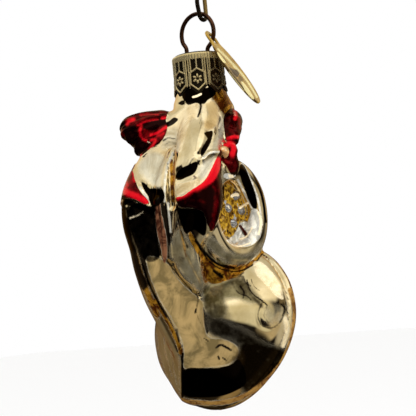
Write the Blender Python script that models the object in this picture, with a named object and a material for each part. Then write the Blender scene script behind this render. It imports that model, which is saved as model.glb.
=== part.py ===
"""Blown-glass french horn ornament with a ribbon bow, a crown cap, a hanging ring, a tag and a wire hook.

Metres, +Z up. The origin is the inside of the hook's upper crook, where the ornament hangs. The coils lie
in the XZ plane, their front looks along -Y, and the bell opens towards +X. Heights count up from the
lowest glass.
"""

import math

import bmesh
import bpy
from mathutils import Matrix, Vector

MM = 0.001

# Driving dimensions, in millimetres
GLASS_TOP = 98.0  # upper edge of the glass neck
NECK_RADIUS = 6.2
NECK_LENGTH = 10.6
NECK_BORE_RADIUS = 5.2
NECK_BORE_DEPTH = 13.0
PIECE_GAP = 0.35  # clearance between pieces that fit each other

COIL_X = -3.6
COIL_HEIGHT = 53.2
COIL_FRONT = 8.6  # each coil ring's distance from the seam plane
COIL_RADIUS = 11.8
COIL_TUBE = 3.5
DISH_FRONT = 7.0  # floor inside each coil ring, from the seam plane
BUMP_RADIUS = 1.9
BUMP_RISE = 1.5

BELL_X = 0.7
BELL_HEIGHT = 22.8
BELL_RADIUS = 23.4
BELL_TILT = 15.0  # degrees that the bell's mouth looks down
BELL_DEPTH = 17.0
BELL_LIP = 1.5
BELL_FLAT = 0.08  # share by which the rim is pressed in at its flattest
BELL_FLAT_ANGLE = -48.0  # where that is, from the rim's lowest point towards its back
BELL_FLAT_SPREAD = 38.0
MOUTH_DISH = 3.4

RIBBON_RELIEF = 0.6
TAIL_TOP = 67.0
TAIL_FOOT = 54.0
TAIL_CURVE = 5.0  # radius of the raised face of each ribbon tail
FRONT_TAIL_WAY = (-0.65, 0.77)  # x and front of the side of its tube that a tail lies on
BACK_TAIL_WAY = (-0.87, -0.49)

CAP_HEIGHT = 12.4
CAP_FLARE = 1.4  # how far a panel's point stands out past the cap's top
CAP_WALL = 0.45
CAP_PANELS = 8
CAP_TURN = 9.0  # degrees that the panels are turned about the neck
CAP_TIP_DEPTH = 3.4
CAP_EDGE = 0.9  # round of the upper edge
CAP_BEAD = 0.3  # rise of the two beads round the cap
CAP_BEAD_WIDTH = 0.7
CAP_BEAD_DROPS = (0.15, 0.24)  # middle of each bead, as a share of the cap's height
CAP_SKIRT_DROP = 3.6  # where the panels begin to flare
CAP_PANEL_FACETS = 6

RING_RADIUS = 5.5
RING_WIRE = 1.1
RING_RISE = 6.0  # ring centre above the cap's top
RING_LEAN = 0.8  # ring centre towards the front
RING_LEG_SPREAD = 3.7
RING_LEG_LENGTH = 8.5

TAG_LENGTH = 22.0
TAG_WIDTH = 12.4
TAG_THICKNESS = 0.7
TAG_EYE_RADIUS = 2.9
TAG_HOLE_RADIUS = 1.75
TAG_RING_ANGLE = -28.0  # where on the hanging ring the tag's eye sits
TAG_LEAN = 30.5  # degrees that the tag stands off the vertical
TAG_BEARING = -75.0  # way the tag leans out, from +X

HOOK_WIRE = 1.2
HOOK_LOWER_RADIUS = 1.6
HOOK_LOWER_RISE = 5.0  # how far both sides of the lower crook run straight up
HOOK_UPPER_RADIUS = 6.0
HOOK_FRONT = 3.2
HOOK_SHANK = 13.6  # lower crook's centre to the upper one's

# Fineness of the glass surface
VOXEL = 0.56
SMOOTHING = 5
GLASS_TRIANGLES = 6300
WIRE_SIDES = 8

CAP_TOP = GLASS_TOP + PIECE_GAP + CAP_WALL
CAP_TOP_RADIUS = NECK_RADIUS + PIECE_GAP + CAP_WALL
RING_HEIGHT = CAP_TOP + RING_RISE
RING_REST = math.sqrt(RING_RADIUS**2 - (HOOK_FRONT - RING_LEAN) ** 2)  # ring's rise where the hook holds it
HOOK_LOWER_HEIGHT = RING_HEIGHT + RING_REST - (RING_WIRE + HOOK_WIRE) / 2 - PIECE_GAP + HOOK_LOWER_RADIUS
HOOK_UPPER_HEIGHT = HOOK_LOWER_HEIGHT + HOOK_SHANK
HANG_HEIGHT = HOOK_UPPER_HEIGHT + HOOK_UPPER_RADIUS - HOOK_WIRE / 2

# Stations of the glass tubes, in hundredths of GLASS_TOP: x, distance in front of the seam, height, radius
FRONT_TUBE = (
    (-2.6, 1.5, 82.1, 6.1),
    (-8.7, 4.6, 76.5, 6.1),
    (-13.8, 6.9, 70.9, 6.1),
    (-16.7, 8.0, 64.3, 6.4),
    (-17.7, 8.2, 58.2, 6.5),
    (-18.2, 6.9, 52.6, 5.7),
    (-18.9, 4.9, 47.4, 4.5),
    (-17.8, 3.5, 41.8, 4.1),
    (-14.3, 1.8, 36.2, 3.5),
)
BACK_TUBE = (
    (-2.6, -1.5, 82.1, 6.1),
    (-8.8, -4.7, 77.0, 5.7),
    (-13.5, -6.7, 71.7, 4.7),
    (-16.6, -8.1, 65.9, 5.4),
    (-18.8, -8.7, 59.7, 6.4),
    (-19.3, -8.4, 53.6, 6.6),
    (-18.9, -7.6, 47.4, 6.4),
    (-18.7, -6.7, 41.8, 6.4),
    (-17.2, -5.9, 35.7, 6.5),
    (-14.6, -4.7, 29.6, 6.8),
    (-11.7, -3.2, 23.0, 6.9),
    (-10.2, -2.1, 17.3, 5.5),
)
SEAM_FILL = (
    (-13.8, -0.3, 70.4, 3.5),
    (-18.2, -0.3, 61.2, 4.7),
    (-19.2, -0.8, 53.1, 4.7),
    (-19.6, -0.8, 45.9, 4.3),
)
# Fill under each coil ring, beside the down tube
GROOVE_FILL = (
    (-15.3, 5.6, 45.9, 3.3),
    (-11.7, 5.3, 41.2, 3.5),
    (-6.1, 5.1, 38.4, 3.5),
)
# Crease of the shoulder over the front tube
FOLD = (
    (4.7, 4.5, 84.7, 2.7),
    (-0.6, 6.7, 78.4, 2.9),
    (-8.2, 9.2, 72.7, 2.3),
)
BACK_LOOP = ((-8.7, -7.1, 81.0, 4.3), (-12.7, -10.6, 80.6, 4.9), (-16.2, -12.4, 80.4, 4.0))
BACK_FOLD = ((-9.2, -7.1, 76.1, 4.3), (-13.7, -10.4, 76.1, 4.0))
SIDE_LOOP = ((-3.5, 11.0, 74.7, 2.3), (-0.8, 9.8, 78.0, 2.9), (2.4, 8.0, 80.8, 3.1), (6.3, 5.3, 81.2, 2.7))
SHORT_TAIL = ((-6.1, 11.6, 70.0, 2.3), (-5.7, 11.2, 67.3, 3.0))
KNOT = (-6.4, 12.2, 71.3, 2.3)
WEB = (-7.1, 0.0, 40.8, 7.1)  # glass between the coils, the down tubes and the bell
TOP_WEB = (-3.1, 0.0, 70.4, 7.1)  # between the shoulder and the coils
# Shoulder under the neck, in the same hundredths: drop below the neck, radius
SHOULDER = ((-0.2, 6.3), (0.6, 7.6), (2.4, 8.3), (5.5, 8.2), (9.6, 7.3), (13.2, 5.7), (15.7, 2.7))
BELL_PROFILE = ((0.0, 0.96), (0.1, 0.95), (0.3, 0.89), (0.5, 0.73), (0.7, 0.53), (0.88, 0.33), (1.0, 0.12))
BUMPS = ((0.46, 0.42), (0.62, 0.08), (0.12, 0.14), (0.27, -0.22))  # valve caps, as shares of the coil radius


def at(x, front, height):
    """A point of the ornament in metres, with the hook's crook at the origin."""
    return Vector((x, HOOK_FRONT - front, height - HANG_HEIGHT)) * MM


def clear_scene():
    for obj in list(bpy.data.objects):
        bpy.data.objects.remove(obj)


def material(name, colour, roughness, metallic=1.0):
    made = bpy.data.materials.new(name)
    made.use_nodes = True
    shader = made.node_tree.nodes["Principled BSDF"]
    shader.inputs["Base Color"].default_value = (*colour, 1.0)
    shader.inputs["Roughness"].default_value = roughness
    shader.inputs["Metallic"].default_value = metallic
    return made


def add_object(name, bm, finish=None):
    """Turn a bmesh into an object; without a finish it is a cutter or helper that doesn't render."""
    bmesh.ops.recalc_face_normals(bm, faces=bm.faces[:])
    mesh = bpy.data.meshes.new(name)
    bm.to_mesh(mesh)
    bm.free()
    mesh.shade_smooth()
    obj = bpy.data.objects.new(name, mesh)
    bpy.context.scene.collection.objects.link(obj)
    if finish:
        mesh.materials.append(finish)
        mesh.set_sharp_from_angle(angle=math.radians(40))
    else:
        obj.hide_render = True
        obj.display_type = "WIRE"
    return obj


def boolean(obj, other, operation="DIFFERENCE"):
    change = obj.modifiers.new(other.name, "BOOLEAN")
    change.operation = operation
    change.solver = "EXACT"
    change.object = other


def sized(stations):
    """Stations in millimetres, from hundredths of the glass's height."""
    return tuple(tuple(value * GLASS_TOP / 100 for value in station) for station in stations)


def between(a, b, c, d, t):
    """The value a share t of the way from b to c, on a smooth curve that comes from a and goes on to d."""
    bend = (2 * a - 5 * b + 4 * c - d) * t**2 + (3 * b - a - 3 * c + d) * t**3
    return b + ((c - a) * t + bend) / 2


def smooth_path(stations, steps):
    """Points on a smooth curve through stations, each a tuple of any length."""
    last = len(stations) - 1
    path = []
    for i in range(last):
        before, start, end, after = (stations[min(max(i + k, 0), last)] for k in (-1, 0, 1, 2))
        for j in range(steps):
            path.append(tuple(between(*four, j / steps) for four in zip(before, start, end, after)))
    path.append(tuple(stations[-1]))
    return path


def turns(count):
    """Angles spread evenly round a circle."""
    return [2 * math.pi * k / count for k in range(count)]


def add_tube(bm, centres, radii, sides, closed=False):
    """Sweep a circle of changing radius along centres, with flat ends or closed into a ring."""
    count = len(centres)
    rings = []
    across = None
    for i, (centre, radius) in enumerate(zip(centres, radii)):
        ahead = centres[(i + 1) % count] if closed or i < count - 1 else centre
        behind = centres[i - 1] if closed or i > 0 else centre
        along = (ahead - behind).normalized()
        guide = across if across else (Vector((0, 1, 0)) if abs(along.y) < 0.9 else Vector((1, 0, 0)))
        across = (guide - along * guide.dot(along)).normalized()
        up = along.cross(across)
        ways = (across * math.cos(a) + up * math.sin(a) for a in turns(sides))
        rings.append([bm.verts.new(centre + radius * way) for way in ways])
    for i in range(count if closed else count - 1):
        lower, upper = rings[i], rings[(i + 1) % count]
        for k in range(sides):
            bm.faces.new((lower[k], lower[(k + 1) % sides], upper[(k + 1) % sides], upper[k]))
    if not closed:
        bm.faces.new(rings[0][::-1])
        bm.faces.new(rings[-1])


def add_stations(bm, stations, sides=20, steps=5):
    """A tube along stations, with a round end at each."""
    path = smooth_path(stations, steps)
    add_tube(bm, [at(x, front, height) for x, front, height, _ in path], [r * MM for *_, r in path], sides)
    add_lump(bm, stations[0])
    add_lump(bm, stations[-1])


def add_lump(bm, station, stretch=(1, 1, 1), segments=20):
    """A ball, or an egg where it is stretched, at one station."""
    *centre, radius = station
    place = Matrix.Translation(at(*centre)) @ Matrix.Diagonal((*stretch, 1))
    bmesh.ops.create_uvsphere(
        bm, u_segments=segments, v_segments=segments // 2, radius=radius * MM, matrix=place
    )


def even(angle):
    """The reach of a turned shape that is round."""
    return 1.0


def add_turned(bm, profile, place, segments, reach=even):
    """Spin a profile of (height, radius) in millimetres about the local z axis, with flat ends."""
    rings = []
    around = [(a, reach(a)) for a in turns(segments)]
    for height, radius in profile:
        circle = (Vector((radius * r * math.cos(a), radius * r * math.sin(a), height)) for a, r in around)
        rings.append([bm.verts.new(place @ point) for point in circle])
    for lower, upper in zip(rings, rings[1:]):
        for k in range(segments):
            bm.faces.new((lower[k], lower[(k + 1) % segments], upper[(k + 1) % segments], upper[k]))
    bm.faces.new(rings[0][::-1])
    bm.faces.new(rings[-1])


def upright():
    """Local millimetres to metres, with local z as the height above the lowest glass."""
    return Matrix.Translation(at(0, 0, 0)) @ Matrix.Scale(MM, 4)


def add_coil(bm, side):
    """One coil ring with its dish floor and the small valve bumps on it; side is 1 in front and -1 behind."""
    centres = [
        at(COIL_X + COIL_RADIUS * math.cos(a), side * COIL_FRONT, COIL_HEIGHT + COIL_RADIUS * math.sin(a))
        for a in turns(36)
    ]
    add_tube(bm, centres, [COIL_TUBE * MM] * len(centres), 16, closed=True)
    for x, rise in BUMPS:
        spot = (COIL_X + x * COIL_RADIUS, side * DISH_FRONT, COIL_HEIGHT + rise * COIL_RADIUS)
        add_lump(bm, (*spot, BUMP_RADIUS), stretch=(1, BUMP_RISE / BUMP_RADIUS, 1), segments=12)


def add_dish_core(bm):
    """The solid between the two dish floors."""
    quarter = Matrix.Rotation(math.pi / 2, 4, "X")
    facing = Matrix.Translation(at(COIL_X, 0, COIL_HEIGHT)) @ quarter @ Matrix.Scale(MM, 4)
    add_turned(bm, ((-DISH_FRONT, COIL_RADIUS), (DISH_FRONT, COIL_RADIUS)), facing, 32)


def bell_reach(angle):
    """How far the bell reaches at an angle round its mouth, as a share of its radius."""
    away = (math.degrees(angle) - BELL_FLAT_ANGLE + 180) % 360 - 180
    return 1 - BELL_FLAT * math.exp(-((away / BELL_FLAT_SPREAD) ** 2))


def add_bell(bm):
    """The flared bell: its back is a dome, its rim a rolled lip and its mouth a shallow dish."""
    place = (
        Matrix.Translation(at(BELL_X, 0, BELL_HEIGHT))
        @ Matrix.Rotation(math.radians(90 + BELL_TILT), 4, "Y")
        @ Matrix.Scale(MM, 4)
    )
    reach = BELL_RADIUS - BELL_LIP
    slopes = (math.radians(15 * k) for k in range(1, 7))
    mouth = [(-MOUTH_DISH * math.cos(slope), reach * math.sin(slope)) for slope in slopes]
    back = [(-BELL_DEPTH * depth, BELL_RADIUS * radius) for depth, radius in BELL_PROFILE]
    add_turned(bm, mouth + back, place, 48, bell_reach)
    around = [(a, reach * bell_reach(a)) for a in turns(48)]
    lip = [place @ Vector((r * math.cos(a), r * math.sin(a), 0)) for a, r in around]
    add_tube(bm, lip, [BELL_LIP * MM] * len(lip), 10, closed=True)


def add_tail(bm, tube, direction):
    """A ribbon tail: a raised face along a tube, on the side that direction names."""
    way = Vector(direction).normalized()
    path = [p for p in smooth_path(tube, 6) if TAIL_FOOT <= p[2] <= TAIL_TOP]
    centres = []
    for x, front, height, radius in path:
        offset = radius + RIBBON_RELIEF - TAIL_CURVE
        centres.append(at(x + way.x * offset, front + way.y * offset, height))
    add_tube(bm, centres, [TAIL_CURVE * MM] * len(centres), 20)


def behind(stations):
    """The same stations on the back of the ornament."""
    return tuple((x, -front, *rest) for x, front, *rest in stations)


def add_bow(bm):
    """The ribbon bow: a knot, a short tail and a loop on either face, and the large folded loop behind."""
    add_stations(bm, sized(BACK_LOOP))
    add_stations(bm, sized(BACK_FOLD))
    for face in (tuple, behind):
        add_stations(bm, face(sized(SIDE_LOOP)))
        add_stations(bm, face(sized(SHORT_TAIL)))
        add_lump(bm, *face(sized([KNOT])))


def make_glass(finish):
    neck_foot = GLASS_TOP - NECK_LENGTH
    shoulder = sized(SHOULDER)
    bm = bmesh.new()
    add_turned(bm, ((neck_foot - NECK_RADIUS, NECK_RADIUS), (GLASS_TOP, NECK_RADIUS)), upright(), 32)
    add_turned(bm, [(neck_foot - drop, radius) for drop, radius in shoulder], upright(), 32)
    front_tube, back_tube = sized(FRONT_TUBE), sized(BACK_TUBE)
    for stations in (front_tube, back_tube, sized(SEAM_FILL), sized(FOLD)):
        add_stations(bm, stations)
    for face in (tuple, behind):
        add_stations(bm, face(sized(GROOVE_FILL)))
    add_dish_core(bm)
    for side in (1, -1):
        add_coil(bm, side)
    add_bell(bm)
    add_bow(bm)
    for web in sized([WEB, TOP_WEB]):
        add_lump(bm, web)
    add_tail(bm, front_tube, FRONT_TAIL_WAY)
    add_tail(bm, back_tube, BACK_TAIL_WAY)
    glass = add_object("glass_horn", bm, finish)
    skin = glass.modifiers.new("skin", "REMESH")
    skin.mode = "VOXEL"
    skin.voxel_size = VOXEL * MM
    skin.use_smooth_shade = True
    soften = glass.modifiers.new("soften", "SMOOTH")
    soften.iterations = SMOOTHING
    graph = bpy.context.evaluated_depsgraph_get()
    fine = glass.evaluated_get(graph).to_mesh()
    thin = glass.modifiers.new("thin out", "DECIMATE")
    thin.ratio = min(1.0, GLASS_TRIANGLES / (2 * len(fine.polygons)))
    glass.evaluated_get(graph).to_mesh_clear()
    bore = bmesh.new()
    reach = ((GLASS_TOP - NECK_BORE_DEPTH, NECK_BORE_RADIUS), (GLASS_TOP + NECK_RADIUS, NECK_BORE_RADIUS))
    add_turned(bore, reach, upright(), 24)
    boolean(glass, add_object("neck_bore_cutter", bore))
    return glass


def cap_profile():
    """Heights and radii of the cap's outside, from its flat top down to where it flares."""
    profile = [(CAP_TOP, CAP_TOP_RADIUS / 2)]
    for turn in (0, math.pi / 4, math.pi / 2):
        drop = CAP_EDGE * (1 - math.cos(turn))
        profile.append((CAP_TOP - drop, CAP_TOP_RADIUS - CAP_EDGE * (1 - math.sin(turn))))
    for middle in CAP_BEAD_DROPS:
        for shift, rise in ((-0.5, 0), (0, CAP_BEAD), (0.5, 0)):
            profile.append((CAP_TOP - middle * CAP_HEIGHT - shift * CAP_BEAD_WIDTH, CAP_TOP_RADIUS + rise))
    profile.append((CAP_TOP - CAP_SKIRT_DROP, CAP_TOP_RADIUS))
    return profile


def make_cap(finish):
    """A thin crown over the neck, its lower edge cut into a point below each panel."""
    around = CAP_PANEL_FACETS * CAP_PANELS
    bm = bmesh.new()
    columns = []
    for k in range(around):
        angle = 2 * math.pi * k / around + math.radians(CAP_TURN)
        rise = abs(k / CAP_PANEL_FACETS % 1 * 2 - 1)  # 0 at a panel's point, 1 between two panels
        drop = CAP_HEIGHT - CAP_TIP_DEPTH * rise
        flared = (drop - CAP_SKIRT_DROP) / (CAP_HEIGHT - CAP_SKIRT_DROP)
        foot = CAP_TOP - drop
        foot_radius = CAP_TOP_RADIUS + CAP_FLARE * flared**2
        outside = cap_profile() + [(foot, foot_radius)]
        inside = [
            (foot, foot_radius - CAP_WALL),
            (CAP_TOP - CAP_SKIRT_DROP, CAP_TOP_RADIUS - CAP_WALL),
            (CAP_TOP - CAP_WALL, CAP_TOP_RADIUS - CAP_WALL),
        ]
        way = Vector((math.cos(angle), math.sin(angle), 0))
        points = (at(0, 0, height) + way * radius * MM for height, radius in outside + inside)
        columns.append([bm.verts.new(point) for point in points])
    for column, beside in zip(columns, columns[1:] + columns[:1]):
        for i in range(len(column) - 1):
            bm.faces.new((column[i], column[i + 1], beside[i + 1], beside[i]))
    bm.faces.new([column[0] for column in columns])
    bm.faces.new([column[-1] for column in columns][::-1])
    cap = add_object("crown_cap", bm, finish)
    hole_radius = RING_WIRE / 2 + PIECE_GAP
    for name, side in (("front", 1), ("back", -1)):
        hole = bmesh.new()
        place = upright() @ Matrix.Translation((0, -side * RING_LEG_SPREAD, CAP_TOP))
        add_turned(hole, ((-2 * CAP_WALL, hole_radius), (2 * CAP_WALL, hole_radius)), place, 16)
        boolean(cap, add_object(f"cap_hole_cutter_{name}", hole))
    return cap


def on_circle(across, height, radius, degrees):
    """A point on an upright circle, as its place across and its height."""
    angle = math.radians(degrees)
    return across + radius * math.cos(angle), height + radius * math.sin(angle)


def ring_point(degrees):
    """A point on the hanging ring's centre line: distance in front and height."""
    return on_circle(RING_LEAN, RING_HEIGHT, RING_RADIUS, degrees)


def add_wire(bm, centres, thickness):
    add_tube(bm, centres, [thickness / 2 * MM] * len(centres), WIRE_SIDES)


def make_ring(finish):
    """A round wire loop whose two legs stand in the cap's holes and reach down into the neck."""
    leg = [CAP_TOP - RING_LEG_LENGTH, CAP_TOP - RING_LEG_LENGTH / 2, CAP_TOP - CAP_WALL]
    stations = [(-RING_LEG_SPREAD, height) for height in leg]
    stations += [ring_point(degrees) for degrees in range(219, -60, -23)]
    stations += [(RING_LEG_SPREAD, height) for height in reversed(leg)]
    path = smooth_path(stations, 3)
    bm = bmesh.new()
    add_wire(bm, [at(0, front, height) for front, height in path], RING_WIRE)
    return add_object("hanging_ring", bm, finish)


def make_hook(finish):
    """An S of wire: its small lower crook holds the ring, its wide upper crook goes over a branch."""
    straight_top = HOOK_LOWER_HEIGHT + HOOK_LOWER_RISE
    stations = [(HOOK_LOWER_RADIUS, straight_top)]
    for degrees in range(0, -181, -30):
        stations.append(on_circle(0, HOOK_LOWER_HEIGHT, HOOK_LOWER_RADIUS, degrees))
    stations.append((-HOOK_LOWER_RADIUS, straight_top))
    for degrees in range(-36, 195, 21):
        stations.append(on_circle(0, HOOK_UPPER_HEIGHT, HOOK_UPPER_RADIUS, degrees))
    path = smooth_path(stations, 3)
    bm = bmesh.new()
    add_wire(bm, [at(x, HOOK_FRONT, height) for x, height in path], HOOK_WIRE)
    return add_object("ornament_hook", bm, finish)


def tag_frame():
    """Where the tag lies: local x across, local y from its foot up to its eye, local z its thickness."""
    front, height = ring_point(TAG_RING_ANGLE)
    bearing = math.radians(TAG_BEARING)
    lean = math.radians(TAG_LEAN)
    outward = Vector((math.cos(bearing), math.sin(bearing), 0))
    up = Vector((0, 0, math.cos(lean))) - outward * math.sin(lean)
    across = Vector((-outward.y, outward.x, 0))
    face = across.cross(up)
    turn = Matrix((across, up, face)).transposed().to_4x4()
    return Matrix.Translation(at(0, front, height)) @ turn @ Matrix.Scale(MM, 4)


def make_tag(finish):
    """A thin oval plate with a round eye that the hanging ring passes through."""
    place = tag_frame()
    half = TAG_THICKNESS / 2
    drop = TAG_LENGTH / 2 + TAG_HOLE_RADIUS / 2
    plate = bmesh.new()
    oval = place @ Matrix.Translation((0, -drop, 0)) @ Matrix.Diagonal((TAG_WIDTH / TAG_LENGTH, 1, 1, 1))
    add_turned(plate, ((-half, TAG_LENGTH / 2), (half, TAG_LENGTH / 2)), oval, 48)
    tag = add_object("hang_tag", plate, finish)
    eye = bmesh.new()
    add_turned(eye, ((-half, TAG_EYE_RADIUS), (half, TAG_EYE_RADIUS)), place, 24)
    boolean(tag, add_object("tag_eye_shape", eye), "UNION")
    hole = bmesh.new()
    add_turned(hole, ((-2 * half, TAG_HOLE_RADIUS), (2 * half, TAG_HOLE_RADIUS)), place, 24)
    boolean(tag, add_object("tag_hole_cutter", hole))
    return tag


clear_scene()
make_glass(material("champagne_mirror_glass", (0.83, 0.74, 0.52), 0.06))
make_cap(material("antique_brass", (0.45, 0.36, 0.2), 0.35))
make_ring(material("dark_bronze_wire", (0.16, 0.11, 0.09), 0.35))
make_tag(material("gold_tag", (0.8, 0.62, 0.25), 0.3))
make_hook(material("hook_wire", (0.5, 0.42, 0.2), 0.35))
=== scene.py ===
import math
from itertools import pairwise, product

import bpy
import numpy as np
from mathutils import Matrix, Vector
from mathutils.bvhtree import BVHTree


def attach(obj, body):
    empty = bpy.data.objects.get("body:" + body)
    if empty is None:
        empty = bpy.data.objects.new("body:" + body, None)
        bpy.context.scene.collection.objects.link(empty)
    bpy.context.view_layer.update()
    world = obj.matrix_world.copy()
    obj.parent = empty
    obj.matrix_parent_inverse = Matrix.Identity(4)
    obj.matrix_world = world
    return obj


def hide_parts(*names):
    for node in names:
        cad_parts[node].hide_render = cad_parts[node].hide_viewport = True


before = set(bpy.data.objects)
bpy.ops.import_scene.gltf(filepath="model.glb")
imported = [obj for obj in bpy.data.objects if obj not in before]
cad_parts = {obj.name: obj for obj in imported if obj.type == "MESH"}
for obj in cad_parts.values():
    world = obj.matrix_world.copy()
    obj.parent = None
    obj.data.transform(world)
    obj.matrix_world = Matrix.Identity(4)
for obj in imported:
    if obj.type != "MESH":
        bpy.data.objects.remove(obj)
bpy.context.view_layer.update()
mm = 0.001
hang = {"front": 3.2, "height": 128.85}  # the hook's crook, from the seam plane and the lowest glass


def toFrame(points):
    # ornament millimetres (x, back, height) to metres in the CAD frame
    return (np.asarray(points, float) + (0.0, hang["front"], -hang["height"])) * mm


def spot(x, front, height):
    # one point, its second number counted towards the front as a maker measures it
    return np.array((x, -front, height), float)


def onArc(centre, radius, degrees):
    turns = [math.radians(a) for a in degrees]
    return [(centre[0] + radius * math.cos(a), centre[1] + radius * math.sin(a)) for a in turns]


def smoothPath(stations, steps, closed=False):
    # a smooth curve through stations of any number of values
    stations = np.asarray(stations, float)
    count = len(stations)
    path = []
    for i in range(count if closed else count - 1):
        near = range(i - 1, i + 3)
        a, b, c, d = (stations[k % count if closed else min(max(k, 0), count - 1)] for k in near)
        for j in range(steps):
            t = j / steps
            bend = 2 * a - 5 * b + 4 * c - d
            path.append(0.5 * (2 * b + (c - a) * t + bend * t**2 + (3 * b - a - 3 * c + d) * t**3))
    if not closed:
        path.append(stations[-1])
    return np.array(path)


def ease(low, high, value):
    t = np.clip((value - low) / (high - low), 0.0, 1.0)
    return t * t * (3 - 2 * t)


def segmentDistance(u, v, a, b):
    # distance in a plane to the straight piece from a to b
    du, dv = b[0] - a[0], b[1] - a[1]
    t = np.clip(((u - a[0]) * du + (v - a[1]) * dv) / (du * du + dv * dv), 0, 1)
    return np.hypot(u - a[0] - t * du, v - a[1] - t * dv)


def outlineDistance(u, v, corners):
    # distance in a plane to a row of corners, below zero inside it
    nearest = np.full(np.shape(u), 1e9)
    inside = np.zeros(np.shape(u), bool)
    for a, b in pairwise(corners):
        if math.dist(a, b) < 1e-6:
            continue
        nearest = np.minimum(nearest, segmentDistance(u, v, a, b))
        if a[1] != b[1]:
            inside ^= ((a[1] > v) != (b[1] > v)) & (u < (b[0] - a[0]) * (v - a[1]) / (b[1] - a[1]) + a[0])
    return np.where(inside, -nearest, nearest)


def addMesh(name, points, faces, node, attributes):
    # a smooth-shaded piece that rides on the body and stands for its CAD node
    mesh = bpy.data.meshes.new(name)
    mesh.from_pydata([tuple(p) for p in points], [], [tuple(int(i) for i in f) for f in faces])
    mesh.validate()
    mesh.shade_smooth()
    for key, values in attributes.items():
        layer = mesh.attributes.new(key, "FLOAT", "POINT")
        layer.data.foreach_set("value", np.asarray(values, np.float32))
    piece = bpy.data.objects.new(name, mesh)
    bpy.context.scene.collection.objects.link(piece)
    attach(piece, "root")
    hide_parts(node)
    return piece


# Solid shapes as distance fields, in ornament millimetres


def fieldAround(centre, reach, distance):
    # a distance field with the low and high corner of the box that holds its shape
    return {"low": centre - reach, "high": centre + reach, "distance": distance}


def tubeShape(stations, steps=6):
    path = smoothPath([(*spot(*place), radius) for *place, radius in stations], steps)
    reach = path[:, 3].max()

    def distance(x, y, z):
        nearest = None
        for (ax, ay, az, ar), (bx, by, bz, br) in pairwise(path):
            ux, uy, uz = bx - ax, by - ay, bz - az
            px, py, pz = x - ax, y - ay, z - az
            t = np.clip((px * ux + py * uy + pz * uz) / (ux * ux + uy * uy + uz * uz), 0, 1)
            away = np.sqrt((px - t * ux) ** 2 + (py - t * uy) ** 2 + (pz - t * uz) ** 2) - (ar + t * (br - ar))
            nearest = away if nearest is None else np.minimum(nearest, away)
        return nearest

    return {"low": path[:, :3].min(0) - reach, "high": path[:, :3].max(0) + reach, "distance": distance}


def ovalDistance(*sides):
    # each side is the distance from the middle along one axis, and the radius there
    near = np.sqrt(sum((away / radius) ** 2 for away, radius in sides))
    slope = np.sqrt(sum((away / radius**2) ** 2 for away, radius in sides))
    return near * (near - 1) / np.maximum(slope, 1e-6)


def ballShape(centre, radii):
    cx, cy, cz = spot(*centre)
    rx, ry, rz = radii

    def distance(x, y, z):
        return ovalDistance((x - cx, rx), (y - cy, ry), (z - cz, rz))

    return fieldAround(spot(*centre), np.array(radii), distance)


def hoopShape(centre, radius, tube):
    cx, cy, cz = spot(*centre)

    def distance(x, y, z):
        return np.sqrt((np.sqrt((x - cx) ** 2 + (z - cz) ** 2) - radius) ** 2 + (y - cy) ** 2) - tube

    return fieldAround(spot(*centre), np.array((radius + tube, tube, radius + tube)), distance)


def overlap(a, b, corner=0.0):
    # where two fields are both solid, with a rounded edge
    a, b = a + corner, b + corner
    return np.minimum(np.maximum(a, b), 0) - corner + np.sqrt(np.maximum(a, 0) ** 2 + np.maximum(b, 0) ** 2)


def discShape(centre, radius, half):
    cx, cy, cz = spot(*centre)

    def distance(x, y, z):
        return overlap(np.sqrt((x - cx) ** 2 + (z - cz) ** 2) - radius, np.abs(y - cy) - half)

    return fieldAround(spot(*centre), np.array((radius, half, radius)), distance)


def turnedShape(profile, origin, axis, fine=0.14, steps=8, pressed=None):
    # a profile of (along, radius) spun about an axis
    # pressed gives the share of the radius at an angle from straight down
    outline = smoothPath(profile, steps)
    outline[:, 1] = np.maximum(outline[:, 1], 0)
    corners = np.vstack([(outline[0, 0], 0.0), outline, (outline[-1, 0], 0.0)])
    margin = 5.0
    along = np.arange(corners[:, 0].min() - margin, corners[:, 0].max() + margin, fine)
    across = np.arange(0, corners[:, 1].max() + margin, fine)
    table = outlineDistance(*np.meshgrid(along, across, indexing="ij"), corners)
    origin = np.asarray(origin, float)
    axis = np.asarray(axis, float) / np.linalg.norm(axis)

    def distance(x, y, z):
        px, py, pz = x - origin[0], y - origin[1], z - origin[2]
        s = px * axis[0] + py * axis[1] + pz * axis[2]
        r = np.sqrt(np.maximum(px * px + py * py + pz * pz - s * s, 0))
        if pressed:
            r = r / pressed(np.arctan2(py, s * axis[2] - pz))
        u = np.clip((s - along[0]) / fine, 0, len(along) - 1.001)
        v = np.clip(r / fine, 0, len(across) - 1.001)
        i, j = u.astype(int), v.astype(int)
        fu, fv = u - i, v - j
        lower = table[i, j] * (1 - fu) + table[i + 1, j] * fu
        upper = table[i, j + 1] * (1 - fu) + table[i + 1, j + 1] * fu
        return lower * (1 - fv) + upper * fv

    ends = [origin + axis * corners[:, 0].min(), origin + axis * corners[:, 0].max()]
    side = corners[:, 1].max() * np.sqrt(np.maximum(1 - axis**2, 0))
    return {"low": np.minimum(*ends) - side, "high": np.maximum(*ends) + side, "distance": distance}


def smoothMin(a, b, blend):
    near = np.maximum(blend - np.abs(a - b), 0) / blend
    return np.minimum(a, b) - near * near * blend / 4


def joined(parts, x, y, z):
    # the distance to all parts, each flowing into the ones before it
    total = None
    for shape, blend in parts:
        away = shape["distance"](x, y, z)
        total = away if total is None else smoothMin(total, away, blend)
    return total


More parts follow.
